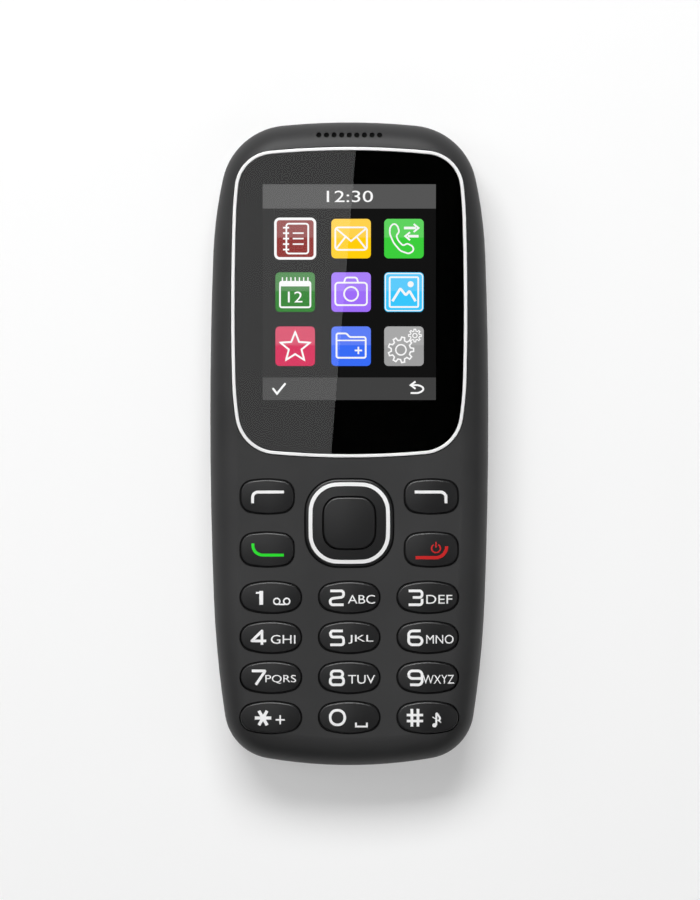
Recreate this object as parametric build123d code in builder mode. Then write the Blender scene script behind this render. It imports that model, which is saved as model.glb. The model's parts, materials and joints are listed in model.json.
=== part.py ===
from build123d import *
import os
from math import asin, atan2, cos, degrees, pi, radians, sin

os.makedirs("parts", exist_ok=True)

# The phone lies on its back: +Z out of the display, +Y to its top end, origin at the middle of its back.

# Sizes across the phone, from the display outwards
display_width = 28.56
display_height = 35.7
lens_border_side = 5.14
lens_border_top = 5.91
lens_border_bottom = 9.49
body_border_side = 3.51
body_border_top = 4.19

# Keypad layout below the lens
soft_row_drop = 6.39
function_pitch = 8.72
function_from_side = 9.43
digit_row_drop = 7.86
digit_from_side = 10.03
digit_pitch_y = 6.58
body_border_bottom = 8.0

# Arcs of the outlines
body_widest_share = 0.4554
body_top_crown = 111.0
body_top_side = 705.5
body_top_shoulder = 70.0
body_top_rise_shares = (0.5484, 0.2598)
body_bottom_crown = 79.6
body_bottom_side = 768.0
body_bottom_shoulder = 170.5
body_bottom_rise_shares = (0.5246, 0.3338)
lens_widest_share = 0.5247
lens_top_crown = 135.4
lens_top_side = 502.5
lens_top_shoulder = 74.1
lens_top_rise_shares = (0.5528, 0.2117)
lens_bottom_crown = 142.7
lens_bottom_side = 445.3
lens_bottom_shoulder = 56.2
lens_bottom_rise_shares = (0.4543, 0.2830)

# Thicknesses through the phone, from the back
cover_wall = 1.1
battery_gap = 0.25
battery_thickness = 4.6
bay_floor_gap = 0.05
bay_floor = 0.6
can_gap = 0.1
can_height = 1.2
board_thickness = 0.9
display_gap = 0.1
backlight_thickness = 1.7
panel_thickness = 1.0
ledge_gap = 0.1
ledge_thickness = 0.8
adhesive_thickness = 0.1
lens_thickness = 1.0

# Shells
front_wall = 1.4
front_edge_radius = 4.6
rear_wall = 0.9
rear_edge_radius = 4.2
cover_depth = 3.0
cover_gap = 0.1
split_below_board = 0.4
lip_height = 1.0
lip_gap = 0.1
board_gap = 0.3
ledge_margin = 1.0
window_margin = 0.6
window_corner = 0.8
overrun = 1.0

# Lens trim
trim_width = 0.55
trim_rise = 0.2
trim_gap = 0.12
trim_edge = 0.15
lens_gap = 0.05
adhesive_width = 1.6

# Keys
key_gap = 0.18
key_travel = 0.3
key_rise = 0.5
key_crown_radius = 28.0
key_lean_share = 0.12
key_edge = 0.3
stop_gap = 0.05
flange_reach = 0.5
flange_thickness = 0.6
stem_radius = 1.4
digit_width = 10.0
digit_height = 5.2
digit_bulge_x = 0.45
digit_bulge_y = 0.84
digit_corner = 2.2
function_width = 8.8
function_height = 5.67
function_bulge_x = 0.4
function_bulge_y = 0.55
function_corner = 2.0

# Four-way ring and its centre key
nav_size = 14.5
nav_bulge = 0.35
nav_corner = 5.3
nav_crown_radius = 60.0
nav_flange_reach = 0.7
nav_flange_thickness = 0.5
nav_tilt = 2.0
nav_nub = 0.9
nav_nub_length = 2.5
inlay_inset = 0.55
inlay_width = 0.62
inlay_depth = 0.9
inlay_rise = 0.03
ok_size = 8.6
ok_bulge = 0.25
ok_corner = 2.6
ok_crown_radius = 40.0
ok_rise = 0.42
rocker_thickness = 0.5
rocker_width = 1.0
rocker_gap = 0.3

# Keypad mat and domes
mat_thickness = 0.5
mat_rim = 0.8
stem_gap = 0.4
film_thickness = 0.1
dome_height = 0.3
dome_radius = 2.0
film_inset = 0.3

# Display module borders beyond the lit area
panel_border_side = 1.2
panel_border_top = 1.6
panel_border_bottom = 4.4
backlight_margin = 0.4
module_corner = 0.6
flex_width = 12.0
flex_thickness = 0.2
flex_foot = 4.0

# Battery and its bay
battery_from_side = 5.93
battery_from_top = 33.5
battery_edge = 0.8
battery_from_bottom = 19.5
bay_gap = 0.3
bay_wall = 0.9
bay_corner = 1.0

# Screws
screw_radius = 0.7
screw_head_radius = 1.25
screw_head_height = 0.8
screw_gap = 0.1
screw_bite_gap = 0.02
screw_seat = 3.0
screw_end_gap = 0.4
screw_drive_radius = 0.55
screw_drive_depth = 0.5
rear_post_radius = 1.7
front_post_radius = 1.3
post_gap = 0.1
board_notch_radius = 2.3
top_screw_from_side = 8.63
top_screw_from_top = 5.8
bottom_screw_drop = 3.8

# Sound, camera and buzzer
hole_radius = 0.435
hole_pitch = 1.25
hole_count = 9
hole_from_top = 2.2
mesh_margin = 0.4
mesh_thickness = 0.15
mesh_pocket_drop = 0.9
earpiece_width = 12.0
earpiece_depth = 4.2
earpiece_height = 2.1
earpiece_gap = 0.4
speaker_from_side = 12.33
speaker_from_top = 22.0
speaker_radius = 7.5
speaker_height = 3.2
gasket_thickness = 0.4
gasket_width = 0.9
speaker_post_width = 1.2
speaker_post_offset = 4.0
grille_slot_width = 1.0
grille_slot_pitch = 2.2
grille_slot_lengths = (6.0, 9.0, 10.0, 9.0, 6.0)
camera_from_top = 11.0
camera_size = 6.5
camera_barrel_radius = 2.2
camera_barrel_height = 1.8
camera_lens_radius = 1.2
camera_lens_depth = 0.4
camera_gap = 0.15
window_radius = 3.6
window_thickness = 0.6
window_hole_radius = 2.6
window_gap = 0.05
motor_from_side = 10.93
motor_from_top = 25.0
motor_radius = 5.0
motor_height = 2.7
mic_from_side = 11.93
mic_from_bottom = 6.0
mic_radius = 1.5
mic_height = 1.5
mic_hole_radius = 0.4

# Sockets
jack_from_side = 14.93
jack_bore = 1.8
jack_width = 6.0
jack_height = 5.0
jack_length = 12.5
jack_wall_gap = 0.1
jack_collar_radius = 2.3
jack_collar_length = 2.2
jack_recess = 0.9
jack_centre_from_board = 2.1
usb_width = 7.5
usb_height = 2.45
usb_length = 5.2
usb_wall = 0.25
usb_chamfer = 0.6
usb_tongue_width = 4.2
usb_tongue_thickness = 0.6
usb_recess = 0.6
usb_gap = 0.35
usb_corner = 0.7

# Cards and contacts behind the board
contact_width = 10.0
contact_depth = 3.0
contact_height = 4.4
contact_finger_width = 1.4
contact_finger_pitch = 3.0
contact_finger_thickness = 0.5
contact_from_battery = 1.4
holder_drop = 1.75
sim_from_bay_side = 3.8
sim_length = 16.0
sim_from_bay = 2.0
card_width = 14.0
card_length = 15.0
card_gap = 1.2
slot_wall = 0.3
window_clear = 0.4
can_margin = 1.0
can_wall = 0.25
can_corner = 0.8
antenna_from_side = 7.93
antenna_length = 8.5
antenna_thickness = 1.0
antenna_gap_to_bay = 1.2
antenna_foot = 1.6
antenna_foot_inset = 2.0
notch_radius = 7.0
notch_depth = 0.5

# Places along the phone
body_width = display_width + 2 * (lens_border_side + body_border_side)
lens_width = display_width + 2 * lens_border_side
lens_height = lens_border_top + display_height + lens_border_bottom
body_length = (body_border_top + lens_height + soft_row_drop + function_pitch + digit_row_drop
               + 3 * digit_pitch_y + body_border_bottom)
body_top = body_length / 2
body_bottom = -body_top
lens_top = body_top - body_border_top
lens_bottom = lens_top - lens_height
display_top = lens_top - lens_border_top
display_y = display_top - display_height / 2
soft_y = lens_bottom - soft_row_drop
call_y = soft_y - function_pitch
nav_y = (soft_y + call_y) / 2
digit_y = call_y - digit_row_drop
last_row_y = digit_y - 3 * digit_pitch_y

# Levels through the phone
battery_z = cover_wall + battery_gap
bay_ceiling_z = battery_z + battery_thickness + bay_floor_gap
bay_top_z = bay_ceiling_z + bay_floor
can_z = bay_top_z + can_gap
board_z = can_z + can_height
board_top_z = board_z + board_thickness
split_z = board_top_z - split_below_board
backlight_z = board_top_z + display_gap
panel_z = backlight_z + backlight_thickness
ledge_z = panel_z + panel_thickness + ledge_gap
seat_z = ledge_z + ledge_thickness
lens_z = seat_z + adhesive_thickness
front_z = lens_z + lens_thickness
ceiling_z = front_z - front_wall
flange_top_z = ceiling_z - stop_gap
flange_z = flange_top_z - flange_thickness
mat_top_z = flange_z - key_travel - stop_gap
mat_z = mat_top_z - mat_thickness
stem_z = board_top_z + dome_height + key_travel + stop_gap
tray_inset = cover_wall + cover_gap
cavity_inset = tray_inset + rear_wall
tray_top_z = cover_depth + cover_gap

nav_flange_size = nav_size + 2 * nav_flange_reach
tilt_sine = sin(radians(nav_tilt))
nav_flange_top_z = ceiling_z - nav_flange_size * tilt_sine
nav_z = nav_flange_top_z - nav_flange_thickness
ok_flange_size = ok_size + 2 * flange_reach
ok_flange_top_z = nav_z - ok_flange_size * tilt_sine - stop_gap
rocker_inner = ok_flange_size + 2 * rocker_gap
rocker_outer = rocker_inner + 2 * rocker_width
rocker_top_z = nav_z - rocker_outer / 2 * tilt_sine - 2 * stop_gap
rocker_z = rocker_top_z - rocker_thickness

function_x = body_width / 2 - function_from_side
digit_pitch_x = body_width / 2 - digit_from_side
speaker_x = speaker_from_side - body_width / 2
motor_x = body_width / 2 - motor_from_side
mic_x = mic_from_side - body_width / 2
jack_x = body_width / 2 - jack_from_side
battery_width = body_width - 2 * battery_from_side
battery_length = body_length - battery_from_bottom - battery_from_top

top_screw_x = body_width / 2 - top_screw_from_side
top_screws = [(way * top_screw_x, body_top - top_screw_from_top) for way in (-1, 1)]
bottom_screws = [(way * digit_pitch_x / 2, last_row_y - bottom_screw_drop) for way in (-1, 1)]
screw_places = top_screws + bottom_screws


def end_arcs(half_width, height, crown, side, shoulder, rise_shares):
    """Radius and turn of the side, shoulder, corner and crown arcs of a quarter outline."""
    side_turn = asin(rise_shares[0] * height / side)
    turned = asin(sin(side_turn) + rise_shares[1] * height / shoulder)
    # The end of the shoulder, seen from the crown's centre, leaves one corner that touches both arcs
    x = half_width - side * (1 - cos(side_turn)) - shoulder * (cos(side_turn) - cos(turned))
    y = sum(rise_shares) * height - (height - crown)
    corner = (crown**2 - x**2 - y**2) / (2 * (crown - x * cos(turned) - y * sin(turned)))
    crown_start = atan2(y - corner * sin(turned), x - corner * cos(turned))
    turns = (side_turn, turned - side_turn, crown_start - turned, pi / 2 - crown_start)
    return [(radius, degrees(turn)) for radius, turn in zip((side, shoulder, corner, crown), turns)]


def two_ends(top, bottom, width, widest_share, top_sizes, bottom_sizes):
    """An outline's half width, widest line and the arcs of its two ends."""
    height = top - bottom
    top_height = widest_share * height
    return (
        width / 2,
        top - top_height,
        end_arcs(width / 2, top_height, *top_sizes),
        end_arcs(width / 2, height - top_height, *bottom_sizes),
    )


body_outline = two_ends(
    body_top, body_bottom, body_width, body_widest_share,
    (body_top_crown, body_top_side, body_top_shoulder, body_top_rise_shares),
    (body_bottom_crown, body_bottom_side, body_bottom_shoulder, body_bottom_rise_shares),
)
lens_outline = two_ends(
    lens_top, lens_bottom, lens_width, lens_widest_share,
    (lens_top_crown, lens_top_side, lens_top_shoulder, lens_top_rise_shares),
    (lens_bottom_crown, lens_bottom_side, lens_bottom_shoulder, lens_bottom_rise_shares),
)


def outline_face(outline, inset=0, mode=Mode.ADD):
    """A face inside the outline, drawn in by an even inset; every arc keeps its centre."""
    half_width, widest_y, top_arcs, bottom_arcs = outline
    with BuildLine() as line:
        for way, arcs in ((1, top_arcs), (-1, bottom_arcs)):
            point = (half_width - inset, widest_y)
            heading = (0, way)
            for radius, turn in arcs:
                arc = JernArc(point, heading, radius - inset, way * turn)
                point = arc @ 1
                heading = arc % 1
        mirror(about=Plane.YZ)
    make_face(line.edges(), mode=mode)


def key_face(size, growth=0):
    """A rounded rectangle whose four sides bow outwards (width, height, bulges, corner), grown all round."""
    width, height, bulge_x, bulge_y, corner = size
    half_width = width / 2 + growth
    half_height = height / 2 + growth
    x = half_width - bulge_x
    y = half_height - bulge_y
    with BuildSketch(mode=Mode.PRIVATE) as face:
        with BuildLine():
            ThreePointArc((-x, y), (0, half_height), (x, y))
            ThreePointArc((x, y), (half_width, 0), (x, -y))
            ThreePointArc((x, -y), (0, -half_height), (-x, -y))
            ThreePointArc((-x, -y), (-half_width, 0), (-x, y))
        make_face()
        fillet(face.vertices(), corner + growth)
    return face.sketch


def whole_form(inset):
    """The closed phone's outer form, drawn in by an even depth."""
    with BuildPart() as form:
        with BuildSketch(Plane.XY.offset(inset)):
            outline_face(body_outline, inset)
        extrude(amount=front_z - 2 * inset)
        fillet(form.faces().sort_by(Axis.Z)[0].edges(), rear_edge_radius - inset)
        fillet(form.faces().sort_by(Axis.Z)[-1].edges(), front_edge_radius - inset)
    return form.part


def save(builder, name):
    builder.part.label = name
    export_step(builder.part, f"parts/{name}.step")


outer_form = whole_form(0)
cover_inner_form = whole_form(cover_wall)
tray_form = whole_form(tray_inset)
cavity_form = whole_form(cavity_inset)
front_inner_form = whole_form(front_wall)
flange_form = whole_form(front_wall + stop_gap)

digit_size = (digit_width, digit_height, digit_bulge_x, digit_bulge_y, digit_corner)
function_size = (function_width, function_height, function_bulge_x, function_bulge_y, function_corner)
nav_outline = (nav_size, nav_size, nav_bulge, nav_bulge, nav_corner)
ok_outline = (ok_size, ok_size, ok_bulge, ok_bulge, ok_corner)

digit_names = [
    ["key_1", "key_2", "key_3"],
    ["key_4", "key_5", "key_6"],
    ["key_7", "key_8", "key_9"],
    ["key_star", "key_0", "key_hash"],
]
keys = {
    name: ((column - 1) * digit_pitch_x, digit_y - row * digit_pitch_y, digit_size)
    for row, names in enumerate(digit_names)
    for column, name in enumerate(names)
}
keys["soft_key_left"] = (-function_x, soft_y, function_size)
keys["soft_key_right"] = (function_x, soft_y, function_size)
keys["call_key"] = (-function_x, call_y, function_size)
keys["end_key"] = (function_x, call_y, function_size)

speaker_place = (speaker_x, body_top - speaker_from_top)
camera_y = body_top - camera_from_top
hole_y = body_top - hole_from_top
mesh_top_z = ceiling_z - mesh_pocket_drop
bay_y = body_bottom + battery_from_bottom + battery_length / 2
bay_width = battery_width + 2 * bay_gap
bay_length = battery_length + 2 * bay_gap
sim_width = bay_width - 2 * sim_from_bay_side
sim_y = bay_y - bay_length / 2 + sim_from_bay + sim_length / 2
card_x = -(sim_width - card_width) / 2
card_y = sim_y + (sim_length + card_length) / 2 + card_gap
contact_y = bay_y + bay_length / 2 + bay_wall / 2
finger_z = battery_z + battery_thickness / 2
jack_z = board_z - jack_centre_from_board
usb_z = board_z - usb_height / 2 - stop_gap
grille_rows = len(grille_slot_lengths)
grille_places = [
    (speaker_place[0], speaker_place[1] + (row - (grille_rows - 1) / 2) * grille_slot_pitch)
    for row in range(grille_rows)
]


with BuildSketch() as grille:
    for place, length in zip(grille_places, grille_slot_lengths):
        with Locations(place):
            SlotOverall(length, grille_slot_width)

# Front shell: the space inside it, then the shell
with BuildPart() as front_space:
    add(front_inner_form)
    split(bisect_by=Plane.XY.offset(split_z - overrun), keep=Keep.TOP)
    with BuildSketch(Plane.XY.offset(ledge_z)):
        outline_face(lens_outline, -ledge_margin)
    extrude(amount=front_wall + ledge_thickness, mode=Mode.SUBTRACT)
    with BuildSketch(Plane.XY.offset(board_top_z + post_gap)):
        with Locations(*screw_places):
            Circle(front_post_radius)
    extrude(amount=front_z - board_top_z, mode=Mode.SUBTRACT)

with BuildPart() as front_housing:
    add(outer_form)
    split(bisect_by=Plane.XY.offset(split_z), keep=Keep.TOP)
    add(front_space.part, mode=Mode.SUBTRACT)
    with BuildSketch(Plane.XY.offset(seat_z)):
        outline_face(lens_outline, -trim_gap)
    extrude(amount=lens_thickness + overrun, mode=Mode.SUBTRACT)
    with BuildSketch(Plane.XY.offset(ledge_z - overrun)):
        with Locations((0, display_y)):
            RectangleRounded(
                display_width + 2 * window_margin, display_height + 2 * window_margin, window_corner
            )
    extrude(amount=ledge_thickness + 2 * overrun, mode=Mode.SUBTRACT)
    with BuildSketch(Plane.XY.offset(ceiling_z - front_wall - ledge_thickness)):
        for x, y, size in keys.values():
            with Locations((x, y)):
                add(key_face(size, key_gap))
        with Locations((0, nav_y)):
            add(key_face(nav_outline, key_gap))
    extrude(amount=2 * front_wall + ledge_thickness + overrun, mode=Mode.SUBTRACT)
    with BuildSketch(Plane.XY.offset(board_top_z)):
        with Locations((0, hole_y)):
            with GridLocations(hole_pitch, 0, hole_count, 1):
                Circle(hole_radius)
    extrude(amount=front_z, mode=Mode.SUBTRACT)
    with BuildSketch(Plane.XY.offset(ledge_z - overrun)):
        with Locations((0, hole_y)):
            SlotOverall(hole_pitch * hole_count + 2 * mesh_margin, 2 * (hole_radius + mesh_margin))
    extrude(amount=mesh_top_z - ledge_z + overrun, mode=Mode.SUBTRACT)
    with BuildSketch(Plane.XY.offset(board_top_z)):
        with Locations(*screw_places):
            Circle(screw_radius + screw_bite_gap)
    extrude(amount=ledge_z - board_top_z, mode=Mode.SUBTRACT)
save(front_housing, "front_housing")

# Rear shell: the space inside it with the bay and posts left standing, then the shell
with BuildPart() as rear_space:
    add(cavity_form)
    split(bisect_by=Plane.XY.offset(split_z + overrun), keep=Keep.BOTTOM)
    with BuildSketch(Plane.XY):
        with Locations((0, bay_y)):
            RectangleRounded(bay_width + 2 * bay_wall, bay_length + 2 * bay_wall, bay_corner + bay_wall)
    extrude(amount=bay_top_z, mode=Mode.SUBTRACT)
    with BuildSketch(Plane.XY):
        with Locations(*screw_places):
            Circle(rear_post_radius)
    extrude(amount=split_z, mode=Mode.SUBTRACT)

with BuildPart() as tray:
    add(tray_form)
    split(bisect_by=Plane.XY.offset(tray_top_z), keep=Keep.BOTTOM)

with BuildPart() as rear_housing:
    add(outer_form)
    split(bisect_by=Plane.XY.offset(split_z), keep=Keep.BOTTOM)
    split(bisect_by=Plane.XY.offset(tray_top_z), keep=Keep.TOP)
    add(tray.part)
    with BuildSketch(Plane.XY.offset(split_z)):
        outline_face(body_outline, front_wall + lip_gap)
    extrude(amount=lip_height)
    add(rear_space.part, mode=Mode.SUBTRACT)
    # Room for the front posts inside the lip
    with BuildSketch(Plane.XY.offset(split_z)):
        with Locations(*screw_places):
            Circle(front_post_radius + post_gap)
    extrude(amount=2 * lip_height, mode=Mode.SUBTRACT)
    # Battery bay, its windows and the slot for its contacts
    with BuildSketch(Plane.XY):
        with Locations((0, bay_y)):
            RectangleRounded(bay_width, bay_length, bay_corner)
    extrude(amount=bay_ceiling_z, mode=Mode.SUBTRACT)
    with BuildSketch(Plane.XY.offset(bay_ceiling_z - bay_floor)):
        with Locations((0, sim_y)):
            Rectangle(sim_width + 2 * window_clear, sim_length + 2 * window_clear)
        with Locations((card_x, card_y)):
            Rectangle(card_width + 2 * window_clear, card_length + 2 * window_clear)
    extrude(amount=3 * bay_floor, mode=Mode.SUBTRACT)
    with BuildSketch(Plane.XY.offset(finger_z - contact_finger_thickness)):
        with Locations((0, contact_y)):
            Rectangle(contact_width, 2 * bay_wall)
    extrude(amount=2 * contact_finger_thickness, mode=Mode.SUBTRACT)
    # Screw holes and head recesses
    with BuildSketch(Plane.XY):
        with Locations(*screw_places):
            Circle(screw_radius + screw_gap)
    extrude(amount=split_z, mode=Mode.SUBTRACT)
    with BuildSketch(Plane.XY):
        with Locations(*screw_places):
            Circle(screw_head_radius + 2 * screw_gap)
    extrude(amount=screw_seat, mode=Mode.SUBTRACT)
    # Loudspeaker slots, camera hole, sockets and microphone hole
    with BuildSketch(Plane.XY):
        add(grille.sketch)
    extrude(amount=cavity_inset + overrun, mode=Mode.SUBTRACT)
    with BuildSketch(Plane.XY):
        with Locations((0, camera_y)):
            Circle(camera_barrel_radius + camera_gap)
    extrude(amount=cavity_inset + overrun, mode=Mode.SUBTRACT)
    with BuildSketch(Plane.XZ.offset(-body_top)):
        with Locations((jack_x, jack_z)):
            Circle(jack_collar_radius + jack_wall_gap)
    extrude(amount=2 * cavity_inset, both=True, mode=Mode.SUBTRACT)
    with BuildSketch(Plane.XZ.offset(-body_bottom)):
        with Locations((0, usb_z)):
            RectangleRounded(usb_width + 2 * usb_gap, usb_height + 2 * usb_gap, usb_corner)
        with Locations((mic_x, board_z - mic_height / 2)):
            Circle(mic_hole_radius)
    extrude(amount=2 * cavity_inset, both=True, mode=Mode.SUBTRACT)
save(rear_housing, "rear_housing")

# Battery cover with grille, camera window seat and fingernail notch
with BuildPart() as battery_cover:
    add(outer_form)
    split(bisect_by=Plane.XY.offset(cover_depth), keep=Keep.BOTTOM)
    add(cover_inner_form, mode=Mode.SUBTRACT)
    with BuildSketch(Plane.XY):
        add(grille.sketch)
    extrude(amount=cover_wall + overrun, mode=Mode.SUBTRACT)
    with BuildSketch(Plane.XY):
        with Locations((0, camera_y)):
            Circle(window_radius + window_gap)
    extrude(amount=window_thickness, mode=Mode.SUBTRACT)
    with BuildSketch(Plane.XY):
        with Locations((0, camera_y)):
            Circle(window_hole_radius)
    extrude(amount=cover_wall + overrun, mode=Mode.SUBTRACT)
    with BuildSketch(Plane.XZ.offset(-body_bottom)):
        with Locations((0, cover_depth + notch_radius - notch_depth)):
            Circle(notch_radius)
    extrude(amount=2 * cover_depth, both=True, mode=Mode.SUBTRACT)
save(battery_cover, "battery_cover")

with BuildPart() as camera_window:
    with BuildSketch(Plane.XY):
        with Locations((0, camera_y)):
            Circle(window_radius)
    extrude(amount=window_thickness)
save(camera_window, "camera_window")

# Lens, its trim ring and adhesive
with BuildPart() as lens_trim:
    with BuildSketch(Plane.XY.offset(seat_z)):
        outline_face(lens_outline)
        outline_face(lens_outline, trim_width, mode=Mode.SUBTRACT)
    extrude(amount=front_z - seat_z + trim_rise)
    fillet(lens_trim.faces().sort_by(Axis.Z)[-1].edges(), trim_edge)
save(lens_trim, "lens_trim")

with BuildPart() as lens_adhesive:
    with BuildSketch(Plane.XY.offset(seat_z)):
        outline_face(lens_outline, trim_width + lens_gap)
        outline_face(lens_outline, trim_width + lens_gap + adhesive_width, mode=Mode.SUBTRACT)
    extrude(amount=adhesive_thickness)
save(lens_adhesive, "lens_adhesive")

with BuildPart() as display_lens:
    with BuildSketch(Plane.XY.offset(lens_z)):
        outline_face(lens_outline, trim_width + lens_gap)
    extrude(amount=lens_thickness)
save(display_lens, "display_lens")

# Display module and the ribbon that folds down to the board
panel_width = display_width + 2 * panel_border_side
panel_length = display_height + panel_border_top + panel_border_bottom
panel_y = display_y + (panel_border_top - panel_border_bottom) / 2
with BuildPart() as lcd_panel:
    with BuildSketch(Plane.XY.offset(panel_z)):
        with Locations((0, panel_y)):
            Rectangle(panel_width, panel_length)
    extrude(amount=panel_thickness)
save(lcd_panel, "lcd_panel")

backlight_length = panel_length + 2 * backlight_margin
with BuildPart() as lcd_backlight:
    with BuildSketch(Plane.XY.offset(backlight_z)):
        with Locations((0, panel_y)):
            RectangleRounded(panel_width + 2 * backlight_margin, backlight_length, module_corner)
    extrude(amount=backlight_thickness)
save(lcd_backlight, "lcd_backlight")

flex_y = panel_y - backlight_length / 2
with BuildPart() as display_flex:
    with BuildSketch(Plane.XY.offset(board_top_z)):
        with Locations((0, flex_y - flex_foot / 2)):
            Rectangle(flex_width, flex_foot)
    extrude(amount=flex_thickness)
    with BuildSketch(Plane.XY.offset(board_top_z)):
        with Locations((0, flex_y - flex_thickness / 2)):
            Rectangle(flex_width, flex_thickness)
    extrude(amount=panel_z + flex_thickness - board_top_z)
    with BuildSketch(Plane.XY.offset(panel_z)):
        with Locations((0, flex_y + (backlight_margin - flex_thickness) / 2)):
            Rectangle(flex_width, backlight_margin + flex_thickness)
    extrude(amount=flex_thickness)
save(display_flex, "display_flex")

# Main board, notched for the screws and the sunk headset socket
board_inset = cavity_inset + board_gap
jack_mouth_y = body_top - jack_recess
jack_back_y = jack_mouth_y - jack_collar_length - jack_length
with BuildPart() as main_board:
    with BuildSketch(Plane.XY.offset(board_z)):
        outline_face(body_outline, board_inset)
        with Locations(*screw_places):
            Circle(board_notch_radius, mode=Mode.SUBTRACT)
        with Locations((jack_x, body_top)):
            Rectangle(
                jack_width + 2 * board_gap, 2 * (body_top - jack_back_y + board_gap), mode=Mode.SUBTRACT
            )
    extrude(amount=board_thickness)
save(main_board, "main_board")

# Shield can in two pieces that fill the board's back beside the card holders
can_top_y = bay_y + bay_length / 2 - can_margin
can_step_y = card_y + card_length / 2 + can_gap + window_clear
can_right = bay_width / 2 - can_margin
card_right = card_x + card_width / 2 + window_clear + can_gap
can_low_y = sim_y + sim_length / 2 + card_gap
can_low_top_y = can_step_y - can_margin
can_low_width = can_right - card_right
can_low_length = can_low_top_y - can_low_y
cans = [
    (0, (can_top_y + can_step_y) / 2, 2 * can_right, can_top_y - can_step_y),
    ((can_right + card_right) / 2, (can_low_top_y + can_low_y) / 2, can_low_width, can_low_length),
]
with BuildPart() as shield_can:
    with BuildSketch(Plane.XY.offset(can_z)):
        for x, y, width, length in cans:
            with Locations((x, y)):
                RectangleRounded(width, length, can_corner)
    extrude(amount=can_height)
    with BuildSketch(Plane.XY.offset(can_z + can_wall)):
        for x, y, width, length in cans:
            with Locations((x, y)):
                RectangleRounded(width - 2 * can_wall, length - 2 * can_wall, can_corner - can_wall)
    extrude(amount=can_height, mode=Mode.SUBTRACT)
save(shield_can, "shield_can")


# Card holders hang from the board through the bay's windows, open at one end for the card
card_holders = {
    "sim_holder": (sim_width, sim_length, (0, sim_y)),
    "memory_card_slot": (card_width, card_length, (card_x, card_y)),
}
for name, (width, length, place) in card_holders.items():
    with BuildPart() as holder:
        with BuildSketch(Plane.XY.offset(board_z - holder_drop)):
            with Locations(place):
                Rectangle(width, length)
        extrude(amount=holder_drop)
        with BuildSketch(Plane.XY.offset(board_z - holder_drop + slot_wall)):
            with Locations((place[0], place[1] - slot_wall)):
                Rectangle(width - 2 * slot_wall, length)
        extrude(amount=holder_drop - 2 * slot_wall, mode=Mode.SUBTRACT)
    save(holder, name)

with BuildPart() as battery:
    with BuildSketch(Plane.XY.offset(battery_z)):
        with Locations((0, bay_y)):
            RectangleRounded(battery_width, battery_length, bay_corner)
    extrude(amount=battery_thickness)
    fillet(battery.faces().filter_by(Axis.Z).edges(), battery_edge)
save(battery, "battery")

contact_block_y = bay_y + battery_length / 2 + contact_from_battery + contact_depth / 2
with BuildPart() as battery_contacts:
    with BuildSketch(Plane.XY.offset(board_z - contact_height)):
        with Locations((0, contact_block_y)):
            Rectangle(contact_width, contact_depth)
    extrude(amount=contact_height)
    with BuildSketch(Plane.XY.offset(finger_z - contact_finger_thickness / 2)):
        with Locations((0, contact_block_y - (contact_depth + contact_from_battery) / 2)):
            with GridLocations(contact_finger_pitch, 0, 3, 1):
                Rectangle(contact_finger_width, contact_from_battery)
    extrude(amount=contact_finger_thickness)
save(battery_contacts, "battery_contacts")

# Keypad: domes on the board, the film that holds them, and the soft mat
dome_places = [(x, y) for x, y, size in keys.values()]
dome_places.append((0, nav_y))
rocker_mid = rocker_inner / 2 + rocker_width / 2
nub_x = rocker_outer / 2 + rocker_gap + nav_nub / 2
dome_places += [(0, nav_y + rocker_mid), (0, nav_y - rocker_mid), (nub_x, nav_y), (-nub_x, nav_y)]
with BuildPart() as key_domes:
    with BuildSketch(Plane.XY.offset(board_top_z)):
        with Locations(*dome_places):
            Circle(dome_radius)
    extrude(amount=dome_height)
    fillet(key_domes.faces().filter_by(Axis.Z).group_by(Axis.Z)[-1].edges(), dome_height / 2)
save(key_domes, "key_domes")

pad_top_y = lens_bottom - ledge_margin
with BuildPart() as dome_sheet:
    with BuildSketch(Plane.XY.offset(board_top_z)):
        outline_face(body_outline, board_inset + mat_rim)
        with Locations((0, pad_top_y + body_length / 2 - mat_rim)):
            Rectangle(body_width, body_length, mode=Mode.SUBTRACT)
        with Locations(*dome_places):
            Circle(dome_radius + film_inset, mode=Mode.SUBTRACT)
        with Locations(*screw_places):
            Circle(board_notch_radius, mode=Mode.SUBTRACT)
        with Locations((0, flex_y)):
            Rectangle(flex_width + 2 * film_inset, 2 * (flex_foot + film_inset), mode=Mode.SUBTRACT)
    extrude(amount=film_thickness)
save(dome_sheet, "dome_sheet")

with BuildPart() as keypad_mat:
    with BuildSketch(Plane.XY.offset(board_top_z)):
        outline_face(body_outline, board_inset)
        with Locations((0, pad_top_y + body_length / 2)):
            Rectangle(body_width, body_length, mode=Mode.SUBTRACT)
    extrude(amount=mat_top_z - board_top_z)
    with BuildSketch(Plane.XY.offset(board_top_z)):
        outline_face(body_outline, board_inset + mat_rim)
        with Locations((0, pad_top_y + body_length / 2 - mat_rim)):
            Rectangle(body_width, body_length, mode=Mode.SUBTRACT)
    extrude(amount=mat_z - board_top_z, mode=Mode.SUBTRACT)
    with BuildSketch(Plane.XY.offset(board_top_z)):
        with Locations(*dome_places[: len(keys)]):
            Circle(stem_radius + stem_gap)
        with Locations((0, nav_y)):
            Rectangle(nav_flange_size + 2 * rocker_gap, nav_flange_size + 2 * rocker_gap)
        with Locations(*screw_places):
            Circle(board_notch_radius)
        with Locations((0, flex_y)):
            Rectangle(flex_width + 2 * film_inset, 2 * (flex_foot + film_inset))
    extrude(amount=mat_top_z - board_top_z, mode=Mode.SUBTRACT)
save(keypad_mat, "keypad_mat")

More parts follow.
